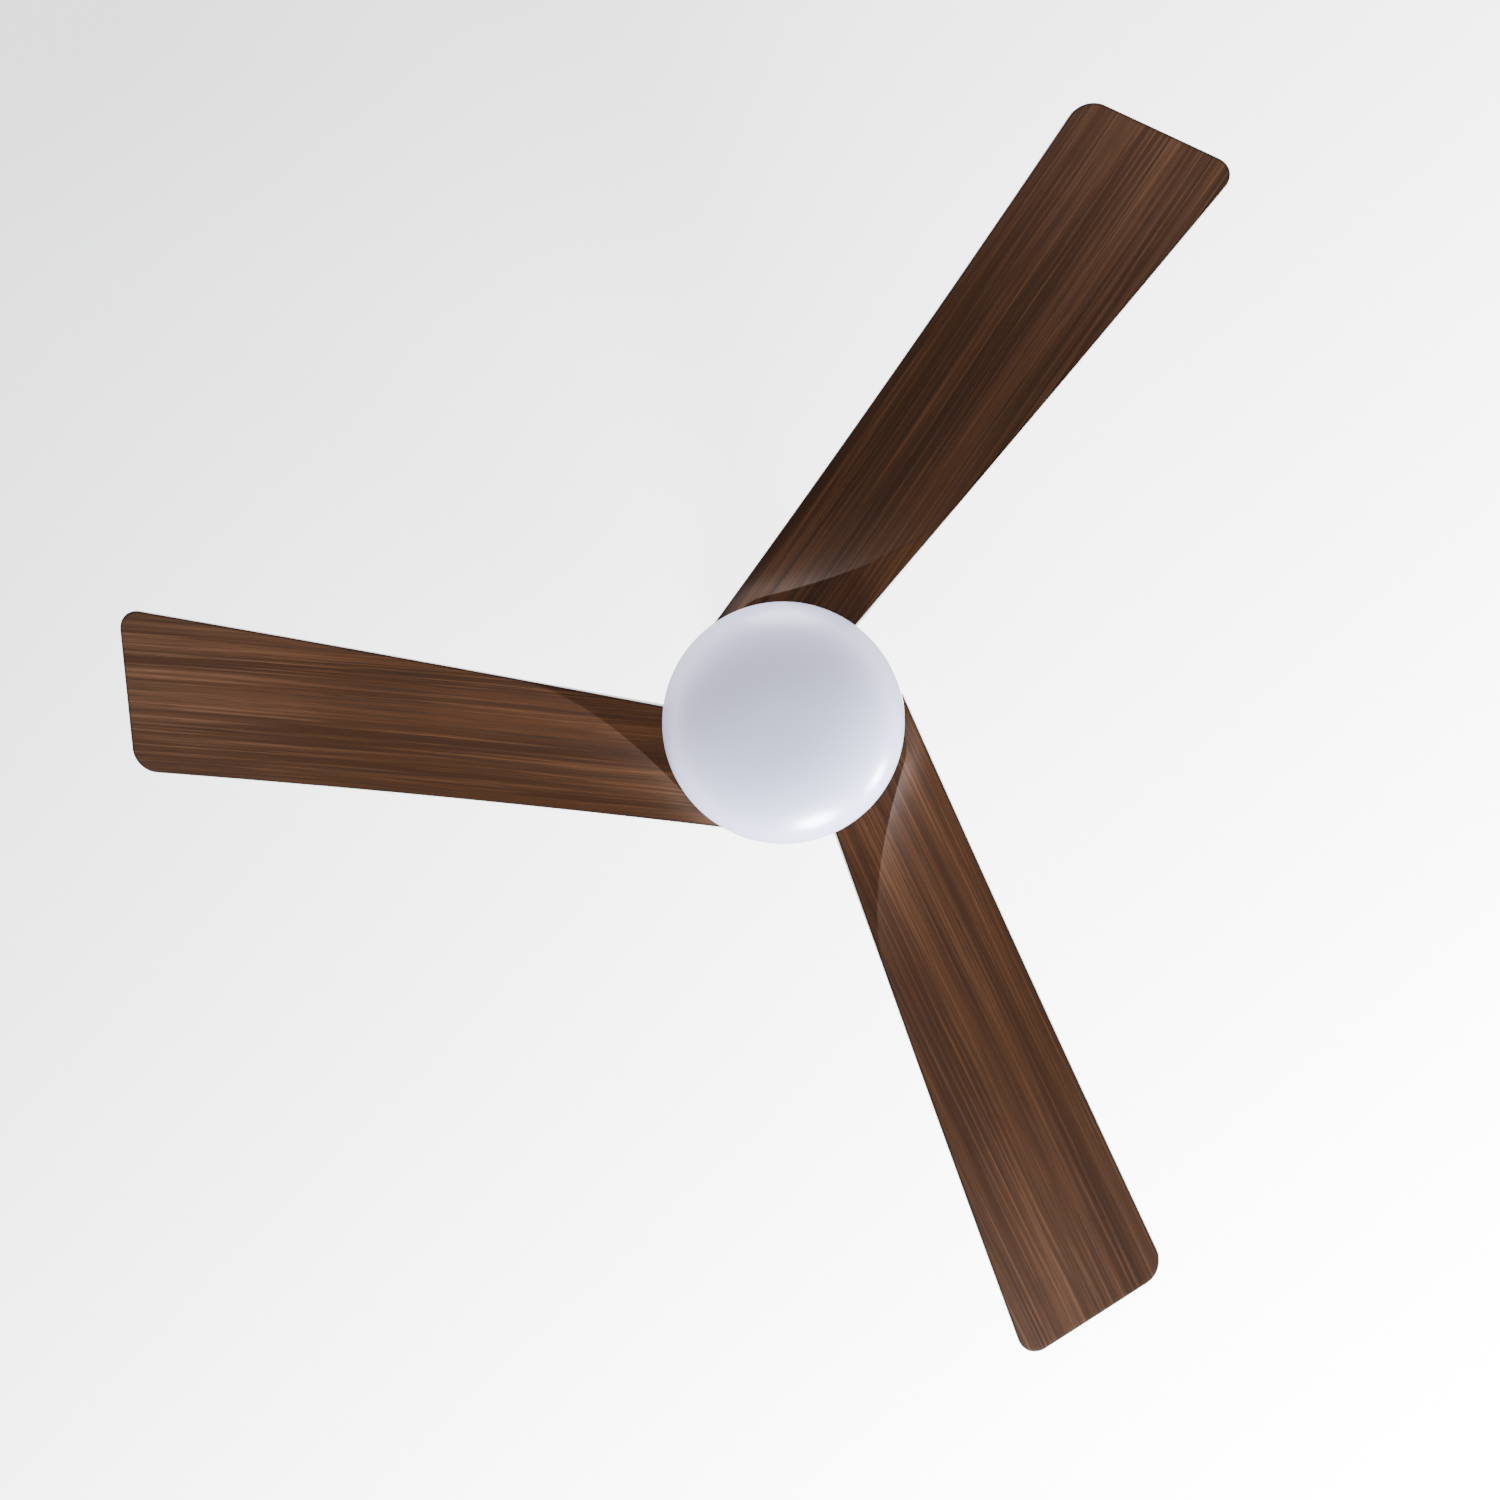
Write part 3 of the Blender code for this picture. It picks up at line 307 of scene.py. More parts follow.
def build_walnut_group():
    """The grain's four masks. Each layer reads noise at the distance along the blade divided by
    the streak length, and at the bent distance across it divided by the streak width."""
    group = new_group("walnut_grain",
                      [("Vector", "Vector", None), ("Streak Width", "Float", 0.0024),
                       ("Streak Length", "Float", 0.200), ("Wander", "Float", 0.010)],
                      [("Bands", "Float"), ("Light Streaks", "Float"), ("Dark Streaks", "Float"),
                       ("Pores", "Float")])
    w = Wiring(group)
    given, result = group.nodes.new("NodeGroupInput"), group.nodes.new("NodeGroupOutput")
    parts = w.node("SeparateXYZ", sockets={"Vector": given.outputs["Vector"]})
    along, across = parts.outputs["X"], parts.outputs["Y"]
    slow = w.node("CombineXYZ", sockets={"X": w.math("MULTIPLY", along, WANDER_ALONG),
                                         "Y": w.math("MULTIPLY", across, WANDER_ACROSS)})
    drift = w.math("SUBTRACT", w.noise(slow.outputs[0], 1.0, detail=1.0), 0.5)
    bent = w.math("ADD", across, w.math("MULTIPLY", drift, given.outputs["Wander"]))
    turns_along = w.math("DIVIDE", along, given.outputs["Streak Length"])
    turns_across = w.math("DIVIDE", bent, given.outputs["Streak Width"])

    def layer(length_share, width_share, depth, detail, roughness, low, high):
        """Noise with so many turns for each streak length and width, stretched to a mask. depth
        is the slice of noise that is read, so that no two layers are alike."""
        spot = w.node("CombineXYZ", sockets={"X": w.math("MULTIPLY", turns_along, length_share),
                                             "Y": w.math("MULTIPLY", turns_across, width_share),
                                             "Z": depth})
        return w.stretch(w.noise(spot.outputs[0], 1.0, detail, roughness), low, high)

    layers = {
        "Bands": dict(length_share=0.30, width_share=0.17, depth=1.3, detail=2.0, roughness=0.5,
                      low=0.34, high=0.66),
        "Light Streaks": dict(length_share=0.8, width_share=0.85, depth=4.7, detail=3.0,
                              roughness=0.65, low=0.47, high=0.72),
        "Dark Streaks": dict(length_share=1.1, width_share=1.10, depth=8.1, detail=3.0,
                             roughness=0.65, low=0.46, high=0.70),
        "Pores": dict(length_share=5.0, width_share=4.0, depth=2.9, detail=1.0, roughness=0.5,
                      low=0.58, high=0.74),
    }
    for label, shape in layers.items():
        w.feed(layer(**shape), result.inputs[label])
    return group


WALNUT = build_walnut_group()
print("group", WALNUT.name, "has", len(WALNUT.nodes), "nodes")


# %% Material tools
def new_material(name, slot):
    """A material with its Principled shader, wired for short. slot is the record's finish."""
    material = bpy.data.materials.new(name)
    material.use_nodes = True
    material["slot"] = slot
    wiring = Wiring(material.node_tree)
    return material, wiring, material.node_tree.nodes["Principled BSDF"]


def set_plain(shader, **values):
    """Sets sockets that are the same all over the surface."""
    for key, value in values.items():
        shader.inputs[key.replace("_", " ")].default_value = value


SKIN_BUMP_STRENGTH = 0.35


def skinned(name, slot, tone, other_tone, roughness, metallic=0.0, grain=900.0, bump=0.0002,
            patch=14.0, rough_spread=0.06, **extra):
    """A finish that is one tone with a slow drift towards another, and a fine grain in its bump."""
    material, w, shader = new_material(name, slot)
    place = w.node("TexCoord").outputs["Object"]
    skin = w.node("Group", node_tree=SKIN,
                  sockets={"Vector": place, "Grain Scale": grain, "Patch Scale": patch})
    w.feed(w.mix(skin.outputs["Patches"], (*tone, 1), (*other_tone, 1)),
           shader.inputs["Base Color"])
    w.feed(w.stretch(skin.outputs["Patches"], 0, 1, roughness - rough_spread, roughness + rough_spread),
           shader.inputs["Roughness"])
    dent = w.node("Bump", sockets={"Height": skin.outputs["Height"],
                                   "Strength": SKIN_BUMP_STRENGTH, "Distance": bump})
    w.feed(dent.outputs["Normal"], shader.inputs["Normal"])
    set_plain(shader, Metallic=metallic, **extra)
    return material


# %% [markdown]
# ## The finishes
#
# The walnut's colour is built up from its grain masks: a mid brown, darker in the bands, warmer in
# some streaks, duller in others, and nearly black in the pores. Far out along the blade a painted
# sheen makes it paler and less red, standing in for the window light that the lacquer reflects at
# the tips. The last few millimetres before the edge are darker with painted shade on the sanded
# rounding. A thin satin lacquer lies over it: the roughness is middling and the specular level low.

# %% Walnut finish
BAND_DARK, BAND_LIGHT = (0.033, 0.0117, 0.0044, 1), (0.058, 0.0218, 0.0084, 1)
STREAK_LIGHT, STREAK_LIGHT_SHARE = (0.118, 0.047, 0.0190, 1), 0.60
STREAK_DARK, STREAK_DARK_SHARE = (0.0155, 0.0068, 0.0032, 1), 0.60
PORE, PORE_SHARE = (0.010, 0.0050, 0.003, 1), 0.5
WHITE = (1.0, 1.0, 1.0, 1)
TIP_SHEEN_GAIN = (1.68, 2.02, 2.80, 1)            # painted sheen: how much paler and bluer the veneer is drawn at the tip
TIP_SHEEN_FROM, TIP_SHEEN_TO = 0.36, 0.68     # distances out from the fan's axis
# painted shade: the veneer is drawn darker over the last few millimetres before the outline, where the
# sanded rounding turns from the light
EDGE_SHADE_TO, EDGE_SHADE_FROM = 0.0010, 0.0034
EDGE_SHADE_TONE = 0.42
LACQUER_ROUGHNESS = (0.44, 0.56)            # between the dark streaks and in them
LIGHT_STREAK_HEIGHT, PORE_DEPTH = 0.4, 0.8
VENEER_BUMP, VENEER_BUMP_STRENGTH = 0.0003, 0.25
LACQUER_SPECULAR = 0.14


def walnut_finish():
    """The veneer: its masks mixed in one after another, then paler tips for painted sheen and darker edges
    for painted shade.
    """
    material, w, shader = new_material("walnut_veneer", "walnut")
    place = w.node("UVMap", uv_map="UVMap").outputs["UV"]
    out = w.node("Group", node_tree=WALNUT, sockets={"Vector": place}).outputs
    brown = w.mix(out["Bands"], BAND_DARK, BAND_LIGHT)
    for mask, share, tone in (("Light Streaks", STREAK_LIGHT_SHARE, STREAK_LIGHT),
                              ("Dark Streaks", STREAK_DARK_SHARE, STREAK_DARK),
                              ("Pores", PORE_SHARE, PORE)):
        brown = w.mix(w.math("MULTIPLY", out[mask], share), brown, tone)
    # Painted sheen: towards the tip the brown is made paler and bluer, standing in for the window light that
    # the lacquer reflects there.
    reach = w.node("Attribute", attribute_name="reach").outputs["Fac"]
    painted_tip_sheen = w.mix(w.stretch(reach, TIP_SHEEN_FROM, TIP_SHEEN_TO), WHITE, TIP_SHEEN_GAIN)
    brown = w.mix(1.0, brown, painted_tip_sheen, "MULTIPLY")
    # Painted shade: near the outline the brown is darkened, standing in for the shade on the sanded rounding
    # of the edge.
    edge = w.node("Attribute", attribute_name="edge_distance").outputs["Fac"]
    rim = w.stretch(edge, EDGE_SHADE_TO, EDGE_SHADE_FROM, EDGE_SHADE_TONE, 1.0)
    edge_shade_grey = w.node("CombineXYZ", sockets={"X": rim, "Y": rim, "Z": rim}).outputs[0]
    w.feed(w.mix(1.0, brown, edge_shade_grey, "MULTIPLY"), shader.inputs["Base Color"])
    w.feed(w.stretch(out["Dark Streaks"], 0, 1, *LACQUER_ROUGHNESS), shader.inputs["Roughness"])
    height = w.math("SUBTRACT", w.math("MULTIPLY", out["Light Streaks"], LIGHT_STREAK_HEIGHT),
                    w.math("MULTIPLY", out["Pores"], PORE_DEPTH))
    dent = w.node("Bump", sockets={"Height": height, "Strength": VENEER_BUMP_STRENGTH,
                                   "Distance": VENEER_BUMP})
    w.feed(dent.outputs["Normal"], shader.inputs["Normal"])
    set_plain(shader, Specular_IOR_Level=LACQUER_SPECULAR)
    return material


# %% [markdown]
# The rest are one call each: two tones that drift into each other, a roughness, how metallic the
# surface is, and the scale of its grain. The opal plastic is a little blue and has a faint gloss
# over it, which is the shader's coat.

# %% The other finishes
FINISH = {
    "walnut": walnut_finish(),
    "white": skinned("white_paint", "white", (0.78, 0.775, 0.76), (0.74, 0.735, 0.72), 0.42,
                     grain=1400.0, bump=0.0001),
    "blade_white": skinned("blade_white_paint", "walnut", (0.76, 0.75, 0.72), (0.72, 0.71, 0.68),
                           0.5, grain=700.0, bump=0.0002),
    "opal": skinned("opal_plastic", "opal", (0.73, 0.725, 0.98), (0.72, 0.715, 0.97), 0.27,
                    grain=2500.0, bump=0.00001, patch=5.0, rough_spread=0.01,
                    Specular_IOR_Level=0.9, Coat_Weight=0.35, Coat_Roughness=0.26),
    "steel": skinned("zinc_plated_screw", "steel", (0.56, 0.56, 0.57), (0.47, 0.47, 0.49), 0.36,
                     metallic=1.0, grain=2600.0),
    "dark_steel": skinned("dark_coated_steel", "dark_steel", (0.035, 0.035, 0.038),
                          (0.05, 0.05, 0.052), 0.45, metallic=0.6, grain=1500.0),
    "black": skinned("black_moulding", "black", (0.028, 0.028, 0.030), (0.038, 0.038, 0.040), 0.52,
                     grain=1800.0),
    "copper": skinned("copper_winding", "copper", (0.62, 0.26, 0.12), (0.48, 0.19, 0.09), 0.34,
                      metallic=1.0, grain=1200.0),
    "core": skinned("varnished_core", "core", (0.15, 0.13, 0.12), (0.11, 0.10, 0.10), 0.5,
                    metallic=0.8, grain=1500.0),
    "board": skinned("white_board", "board", (0.80, 0.81, 0.82), (0.76, 0.77, 0.78), 0.4,
                     grain=1500.0),
    "nylon": skinned("natural_nylon", "nylon", (0.74, 0.71, 0.64), (0.68, 0.65, 0.58), 0.5,
                     grain=1200.0),
    "zinc": skinned("galvanised_plate", "zinc", (0.56, 0.56, 0.54), (0.44, 0.45, 0.45), 0.42,
                    metallic=1.0, grain=1100.0, patch=60.0, rough_spread=0.12),
    "wire": skinned("wire_sleeve", "wire", (0.030, 0.030, 0.032), (0.045, 0.045, 0.047), 0.6,
                    grain=1600.0),
}
SLOT_OF = {entry["node"]: entry["material_slot"] for entry in frame["record"]["subparts"]}
for node, obj in nodes.items():
    obj.data.materials.clear()
    obj.data.materials.append(FINISH[SLOT_OF[node]])
print(len(FINISH), "finishes on", len(nodes), "packed nodes")


def dress(obj, body, node):
    """A finished piece rides its body and stands for a packed node, which is hidden."""
    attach(obj, body)
    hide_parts(node)
    print(f"{obj.name} stands for {node} and rides on {body}")
    return obj


# %% [markdown]
# ## The blades
#
# A blade of this fan is one sheet with two parts. By the hub lies a flat, level root, cut off by a
# curved fold. Beyond the fold the sheet climbs from its trailing edge to its leading edge, which
# is what pushes air, and the climb eases off towards the tip. It could be modelled as a flat plank
# bent with modifiers, but the fold has to stay crisp and run exactly where the two parts meet. So
# the grid's rows are laid out from the trailing edge to the leading edge, and one row always
# follows the fold. Further in, under the motor, the flat root goes on as a tongue that the hub's
# screws hold. It is a piece of its own, a plain slab whose outer end is buried in the blade.

# %% [markdown]
# Each blade is worked out in its own frame and turned to its heading afterwards. There x runs out
# from the fan's axis along the blade, and y runs from the leading edge, which is the negative
# side, to the trailing edge.

# %% Blade outline
BLADE_COUNT = 3
BLADE_FIRST_DEG = 184.6
BLADE_T, BLADE_TIP_T = 0.0070, 0.0050
THIN_FROM, THIN_OVER = 0.13, 0.5            # the thickness eases down over this much of x
BLADE_CUT_R = 0.1124                        # the raised part ends here, clear of the motor housing
FLAT_CUT_R = 0.1065                         # the flat root reaches further in, under the housing
CUT_EASE = 0.010                            # distance behind the fold over which the one becomes the other
TRAIL_ROOT, TRAIL_TIP, TRAIL_BOW = (0.130, 0.0051), (0.6577, 0.0554), 0.0010
LEAD_TIP, LEAD_SWELL = (0.6359, -0.1042), 0.0070
LEAD_PEAK, LEAD_RISE_TIP = (0.310, 0.0323), 0.0115
TIP_CORNER_R = 0.022
TIP_CHORD = TRAIL_TIP[1] - LEAD_TIP[1]
FOLD_START, FOLD_SLOPE, FOLD_CURL, FOLD_END_X = (0.0845, -0.0842), 0.90, 20.0, 0.269
FOLD_MARGIN = 0.004                         # the fold stays this far from the leading edge
SLOPE_STEP = 0.001                          # the step that the trailing edge's slope is measured over
HOLLOW_TIP, HOLLOW_GAIN = 1.15, 0.35        # how hollow the ramp is at the tip, and how much more by the hub
HOLLOW_FROM, HOLLOW_OVER = 0.45, 0.30
EDGE_ROUND = 0.0022                         # the radius that the blade's edges are sanded to
ROOT_FLARE = 0.0010                         # the root's white side leans out this far by the hub
FLARE_FROM, FLARE_OVER, FLARE_DEPTH = 0.25, 0.135, 0.012
EDGE_FLARE = 0.0003                         # elsewhere the white sides lean out this far
VENEER_INSET = 0.0005                       # the veneer stops this far short of the outline
TONGUE_R, TONGUE_DEG = (0.060, 0.114), (-37.0, 1.0)
TONGUE_INSET = 0.0003                       # the tongue's faces lie this far inside the blade's own


def trailing_y(x):
    """The trailing edge: a line from root to tip with a slight outward bow."""
    s = (x - TRAIL_ROOT[0]) / (TRAIL_TIP[0] - TRAIL_ROOT[0])
    return TRAIL_ROOT[1] + s * (TRAIL_TIP[1] - TRAIL_ROOT[1]) + 4 * TRAIL_BOW * s * (1 - s)


def leading_y(x):
    """The leading edge: nearly straight outboard, swelling as a square towards the hub."""
    return LEAD_TIP[1] - LEAD_SWELL * ((LEAD_TIP[0] - x) / LEAD_TIP[0]) ** 2


def fold_y(x):
    """The fold: a parabola inboard of its start, then a cubic out into the trailing edge."""
    (x0, y0), x1 = FOLD_START, FOLD_END_X
    span = x1 - x0
    end_slope = (trailing_y(x1 + SLOPE_STEP) - trailing_y(x1)) / SLOPE_STEP
    s = np.clip((x - x0) / span, 0, 1)
    cubic = ((2 * s**3 - 3 * s**2 + 1) * y0 + (s**3 - 2 * s**2 + s) * span * FOLD_SLOPE
             + (3 * s**2 - 2 * s**3) * trailing_y(x1) + (s**3 - s**2) * span * end_slope)
    inboard = y0 + (x - x0) * FOLD_SLOPE + FOLD_CURL * (x - x0) ** 2
    return np.where(x < x0, inboard, np.where(x > x1, trailing_y(x), cubic))


def leading_rise(x):
    """Height of the leading edge over the trailing edge: a shallow arch."""
    peak_x, peak = LEAD_PEAK
    return peak - (peak - LEAD_RISE_TIP) * ((x - peak_x) / (LEAD_TIP[0] - peak_x)) ** 2


def blade_rise(x, y):
    """Height of the underside: nil on the flat root, then a hollow ramp up from the fold, steepest
    at the fold."""
    fold = np.maximum(fold_y(x), leading_y(x) + FOLD_MARGIN)
    across = np.clip((fold - y) / (fold - leading_y(x)), 0, 1)
    power = HOLLOW_TIP + HOLLOW_GAIN * np.clip((HOLLOW_FROM - x) / HOLLOW_OVER, 0, 1)
    return leading_rise(x) * (1 - (1 - across) ** power)


print(f"the tip is {TIP_CHORD:.4f} m wide, and a blade rises {LEAD_PEAK[1]:.4f} m at most")

# %% [markdown]
# The rows are packed close together at the edges, where the sanded rounding and the tip's round
# corners need them, and at the fold. A row's place is a share of the chord that changes along the
# blade. It follows the fold near the hub and settles one corner radius in from the edge outboard.

# %% Blade grid
FOLD_SHARE_LIMITS = (0.02, 0.97)
SETTLE_FROM, SETTLE_OVER = 0.25, 0.15       # where the first row after the flat part settles outboard
LAST_SHARE = 0.3                            # the edge rows take no more than this share of the ramp
FLAT_ROWS, RAMP_ROWS, EDGE_ROWS, ROUND_ROWS = 22, 46, 16, 5
RAMP_PACK = 1.15
INBOARD_SHARE, OUTBOARD_SHARE = 0.30, 0.94  # the blade's length in three lots of stations
INBOARD_STATIONS, MIDDLE_STATIONS, OUTBOARD_STATIONS = 60, 70, 12
BLADE_LENGTH = 0.54
SOLVE_STEPS = 60
NEAREST_START = 0.025
TINY = 1e-9


def spread(low, high, count, start_pack=1.0):
    """Numbers from low to high, closer together near low when start_pack is over 1."""
    return low + (high - low) * np.linspace(0, 1, count) ** start_pack


def corner_shares(count):
    """Shares from 0 to 1 that are even steps of angle round a quarter circle."""
    return 1 - np.cos(np.linspace(0, math.pi / 2, count))


def row_shares(x):
    """For stations x, the share of the chord of every row: (rows, stations)."""
    fold = np.clip((trailing_y(x) - fold_y(x)) / (trailing_y(x) - leading_y(x)), *FOLD_SHARE_LIMITS)
    settle = np.clip((x - SETTLE_FROM) / SETTLE_OVER, 0, 1)
    first = np.maximum(fold, TIP_CORNER_R / TIP_CHORD * settle**2 * (3 - 2 * settle))
    last = 1 - np.minimum(TIP_CORNER_R / TIP_CHORD, (1 - first) * LAST_SHARE)
    edge_share = EDGE_ROUND / TIP_CHORD * corner_shares(ROUND_ROWS)[:, None]
    flat = first * corner_shares(FLAT_ROWS)[:, None]
    ramp = first + (last - first) * spread(0, 1, RAMP_ROWS, RAMP_PACK)[:, None]
    edge = last + (1 - last) * (1 - corner_shares(EDGE_ROWS)[::-1])[:, None]
    rows = np.concatenate([flat, ramp[1:], edge[1:]])
    near = np.concatenate([edge_share, 1 - edge_share[::-1]]) + 0 * x
    return np.sort(np.concatenate([rows, near[1:-1]]), axis=0)


def tip_x(share):
    """The tip's straight end: a line from the trailing corner to the leading corner."""
    return TRAIL_TIP[0] + (LEAD_TIP[0] - TRAIL_TIP[0]) * share


def across(x, share):
    """The y of a share of the chord, counted from the trailing edge."""
    return trailing_y(x) + (leading_y(x) - trailing_y(x)) * share


def row_starts(rows):
    """Where each row starts: on the cut circle, found by stepping half way to it again and again,
    because a row's y changes with its x."""
    start = np.full(rows, BLADE_CUT_R)
    each = np.arange(rows)
    for _ in range(SOLVE_STEPS):
        y = across(start, row_shares(start)[each, each])
        flatness = np.clip((y - fold_y(start)) / CUT_EASE, 0, 1)
        cut = BLADE_CUT_R + (FLAT_CUT_R - BLADE_CUT_R) * flatness
        start = (start + np.sqrt(np.maximum(cut**2 - y**2, NEAREST_START**2))) / 2
    return start


def blade_plan():
    """Plan positions x and y of the blade's grid, with each point's distance from the outline."""
    share_at_tip = row_shares(np.full(1, LEAD_TIP[0]))[:, 0]
    to_edge = np.minimum(share_at_tip, 1 - share_at_tip) * TIP_CHORD
    inside = np.clip(TIP_CORNER_R - to_edge, 0, TIP_CORNER_R)
    tip = tip_x(share_at_tip) - (TIP_CORNER_R - np.sqrt(TIP_CORNER_R**2 - inside**2))
    start = row_starts(len(tip))
    near_tip = EDGE_ROUND / BLADE_LENGTH * corner_shares(ROUND_ROWS)
    stations = np.concatenate([
        near_tip[:-1], spread(near_tip[-1], INBOARD_SHARE, INBOARD_STATIONS),
        np.linspace(INBOARD_SHARE, OUTBOARD_SHARE, MIDDLE_STATIONS)[1:],
        np.linspace(OUTBOARD_SHARE, 1 - near_tip[-1], OUTBOARD_STATIONS)[1:],
        1 - near_tip[::-1][1:]])
    x = start[:, None] + (tip - start)[:, None] * stations
    share = np.stack([row_shares(line)[row] for row, line in enumerate(x)])
    from_sides = np.minimum(share, 1 - share) * (trailing_y(x) - leading_y(x))
    from_ends = np.minimum(tip[:, None] - x, x - start[:, None])
    near_corner = np.hypot(np.maximum(TIP_CORNER_R - from_sides, 0),
                           np.maximum(TIP_CORNER_R - (tip_x(share) - x), 0))
    from_corner = (np.maximum(TIP_CORNER_R - near_corner, 0) + TINY
                   + np.where(near_corner < TINY, 1.0, 0.0))
    return x, across(x, share), np.minimum(np.minimum(from_sides, from_ends), from_corner)


print("a blade's grid has", len(row_shares(np.array([BLADE_CUT_R]))), "rows")

# %% Blades
GRAIN_SHIFT = np.array([1.7, 0.53])         # how far the next blade's veneer lies in the same wood
FAR_FROM_EDGE = 0.05                        # any distance past this looks the same
TONGUE_ROWS, TONGUE_COLUMNS = 6, 40


def rounding(distance, radius):
    """How far a sanded edge has pulled back at a distance from the outline: a quarter circle."""
    inward = np.clip(radius - distance, 0, radius)
    return radius - np.sqrt(radius**2 - inward**2)


def turn_about_axis(points, degrees):
    """Points turned about the fan's axis."""
    c, s = math.cos(math.radians(degrees)), math.sin(math.radians(degrees))
    return points @ np.array([[c, s, 0], [-s, c, 0], [0, 0, 1]])


def slab_faces(rows, columns):
    """Faces of an under grid, and of the over grid and sides that close it: sheet, over, sides."""
    sheet = grid_faces(rows, columns)
    index = np.arange(rows * columns).reshape(rows, columns)
    rim = np.concatenate([index[0, :], index[1:, -1], index[-1, -2::-1], index[-2:0:-1, 0]])
    after = np.roll(rim, -1)
    sides = np.stack([rim, after, after + index.size, rim + index.size], -1)
    return sheet, sheet[:, ::-1] + index.size, sides


def blade_piece(name, heading, number, levels, edge_distance, reach, bare=None):
    """A slab between two grids of points, with veneer below and paint on the top and the sides.
    Where bare is true, the underside is painted too."""
    points = np.concatenate([level.reshape(-1, 3) for level in levels])
    sheet, over, sides = slab_faces(*levels[0].shape[:2])
    painted = np.zeros(len(sheet)) if bare is None else bare.ravel()[sheet].mean(-1) < VENEER_INSET
    slots = np.concatenate([painted, np.ones(len(over) + len(sides))])
    return mesh_object(name, turn_about_axis(points, heading), np.concatenate([sheet, over, sides]),
                       (FINISH["walnut"], FINISH["blade_white"]), slots,
                       uv=points[:, :2] + GRAIN_SHIFT * number,
                       values={"edge_distance": np.tile(edge_distance.ravel(), 2),
                               "reach": np.tile(reach.ravel(), 2)})


def blade_tongue(heading, number):
    """The flat root under the motor: a slab on a sector of a ring, which ends inside the blade."""
    radius, angle = np.meshgrid(np.linspace(*TONGUE_R, TONGUE_ROWS),
                                np.radians(np.linspace(*TONGUE_DEG, TONGUE_COLUMNS)), indexing="ij")
    x, y = radius * np.cos(angle), radius * np.sin(angle)
    levels = [np.stack([x, y, np.full_like(x, z)], -1)
              for z in (BLADE_Z + TONGUE_INSET, BLADE_Z + BLADE_T - TONGUE_INSET)]
    return blade_piece(f"blade_tongue_{number}", heading, number, levels,
                       np.full_like(x, FAR_FROM_EDGE), x)


def blade_sheet(heading, number):
    """One blade: a walnut underside and a white top and sides, closed all round."""
    x, y, inside = blade_plan()
    pull = rounding(inside, EDGE_ROUND)
    to_trail, to_lead = trailing_y(x) - y, y - leading_y(x)
    thick = BLADE_T + (BLADE_TIP_T - BLADE_T) * np.clip((x - THIN_FROM) / THIN_OVER, 0, 1)
    flare = (ROOT_FLARE * np.clip((FLARE_FROM - x) / FLARE_OVER, 0, 1)
             * np.clip(1 - to_trail / FLARE_DEPTH, 0, 1))
    lean = EDGE_FLARE * np.clip(1 - np.minimum(to_trail, to_lead) / EDGE_ROUND, 0, 1)
    side = np.where(to_trail < to_lead, 1.0, -1.0)
    under = BLADE_Z + blade_rise(x, y)
    levels = [np.stack([x, y, under + pull], -1),
              np.stack([x, y + flare + lean * side, under + thick - pull], -1)]
    return blade_piece(f"blade_sheet_{number}", heading, number, levels,
                       np.minimum(inside, FAR_FROM_EDGE), x, bare=inside)


for number in range(1, BLADE_COUNT + 1):
    heading = BLADE_FIRST_DEG + (number - 1) * 360 / BLADE_COUNT
    sheet = dress(blade_sheet(heading, number), "rotor", f"blade_{number}")
    dress(blade_tongue(heading, number), "rotor", f"blade_{number}")
print("a blade sheet has", len(sheet.data.vertices), "points")

# %% [markdown]
# ## The dome
#
# The lamp's cover is an opal bowl, moulded in one piece. Its wall starts at a shoulder under the
# pan, swells a little to its widest line, and closes in a bowl. A hemisphere would be too deep, so
# the bowl is about half as deep as its widest radius: the depth follows the sine of an angle, and
# the radius a power of its cosine, which makes the bowl a little fuller than an ellipse.

# %% Dome
DOME_WIDE_Z = -0.322
SHOULDER_Z = -0.2966
DOME_T = 0.0020
DOME_FULLNESS = 0.80
DOME_LEAN, WALL_DROP = 0.0012, 0.001        # the wall's top end: in from the widest line, and down
SHOULDER_T_SHARE = 0.9                      # the shoulder's thickness as a share of the wall's
BOWL_STEPS, WALL_STEPS = 60, 14
NECK_IN_R, NECK_OUT_R, SHOULDER_R = 0.1022, 0.1038, 0.1103
EASE = 0.0004                               # the corners of neck and shoulder are eased by about this


def bowl_line(inset):
    """The dome's wall from under the shoulder to the lowest point, as (radius, z)."""
    angle = np.linspace(0, math.pi / 2, BOWL_STEPS)
    depth = DOME_WIDE_Z - DOME_LOW - inset
    bowl = np.stack([(DOME_R - inset) * np.cos(angle) ** DOME_FULLNESS,
                     DOME_WIDE_Z - depth * np.sin(angle)], -1)
    bowl[-1, 0] = 0.0
    rise = np.linspace(0, 1, WALL_STEPS)
    top_r, top_z = DOME_R - DOME_LEAN - inset, SHOULDER_Z - SHOULDER_T_SHARE * inset - WALL_DROP
    wall = np.stack([top_r + (bowl[0, 0] - top_r) * np.sin(rise * math.pi / 2),
                     top_z + (bowl[0, 1] - top_z) * rise], -1)
    return np.concatenate([wall[:-1], bowl])


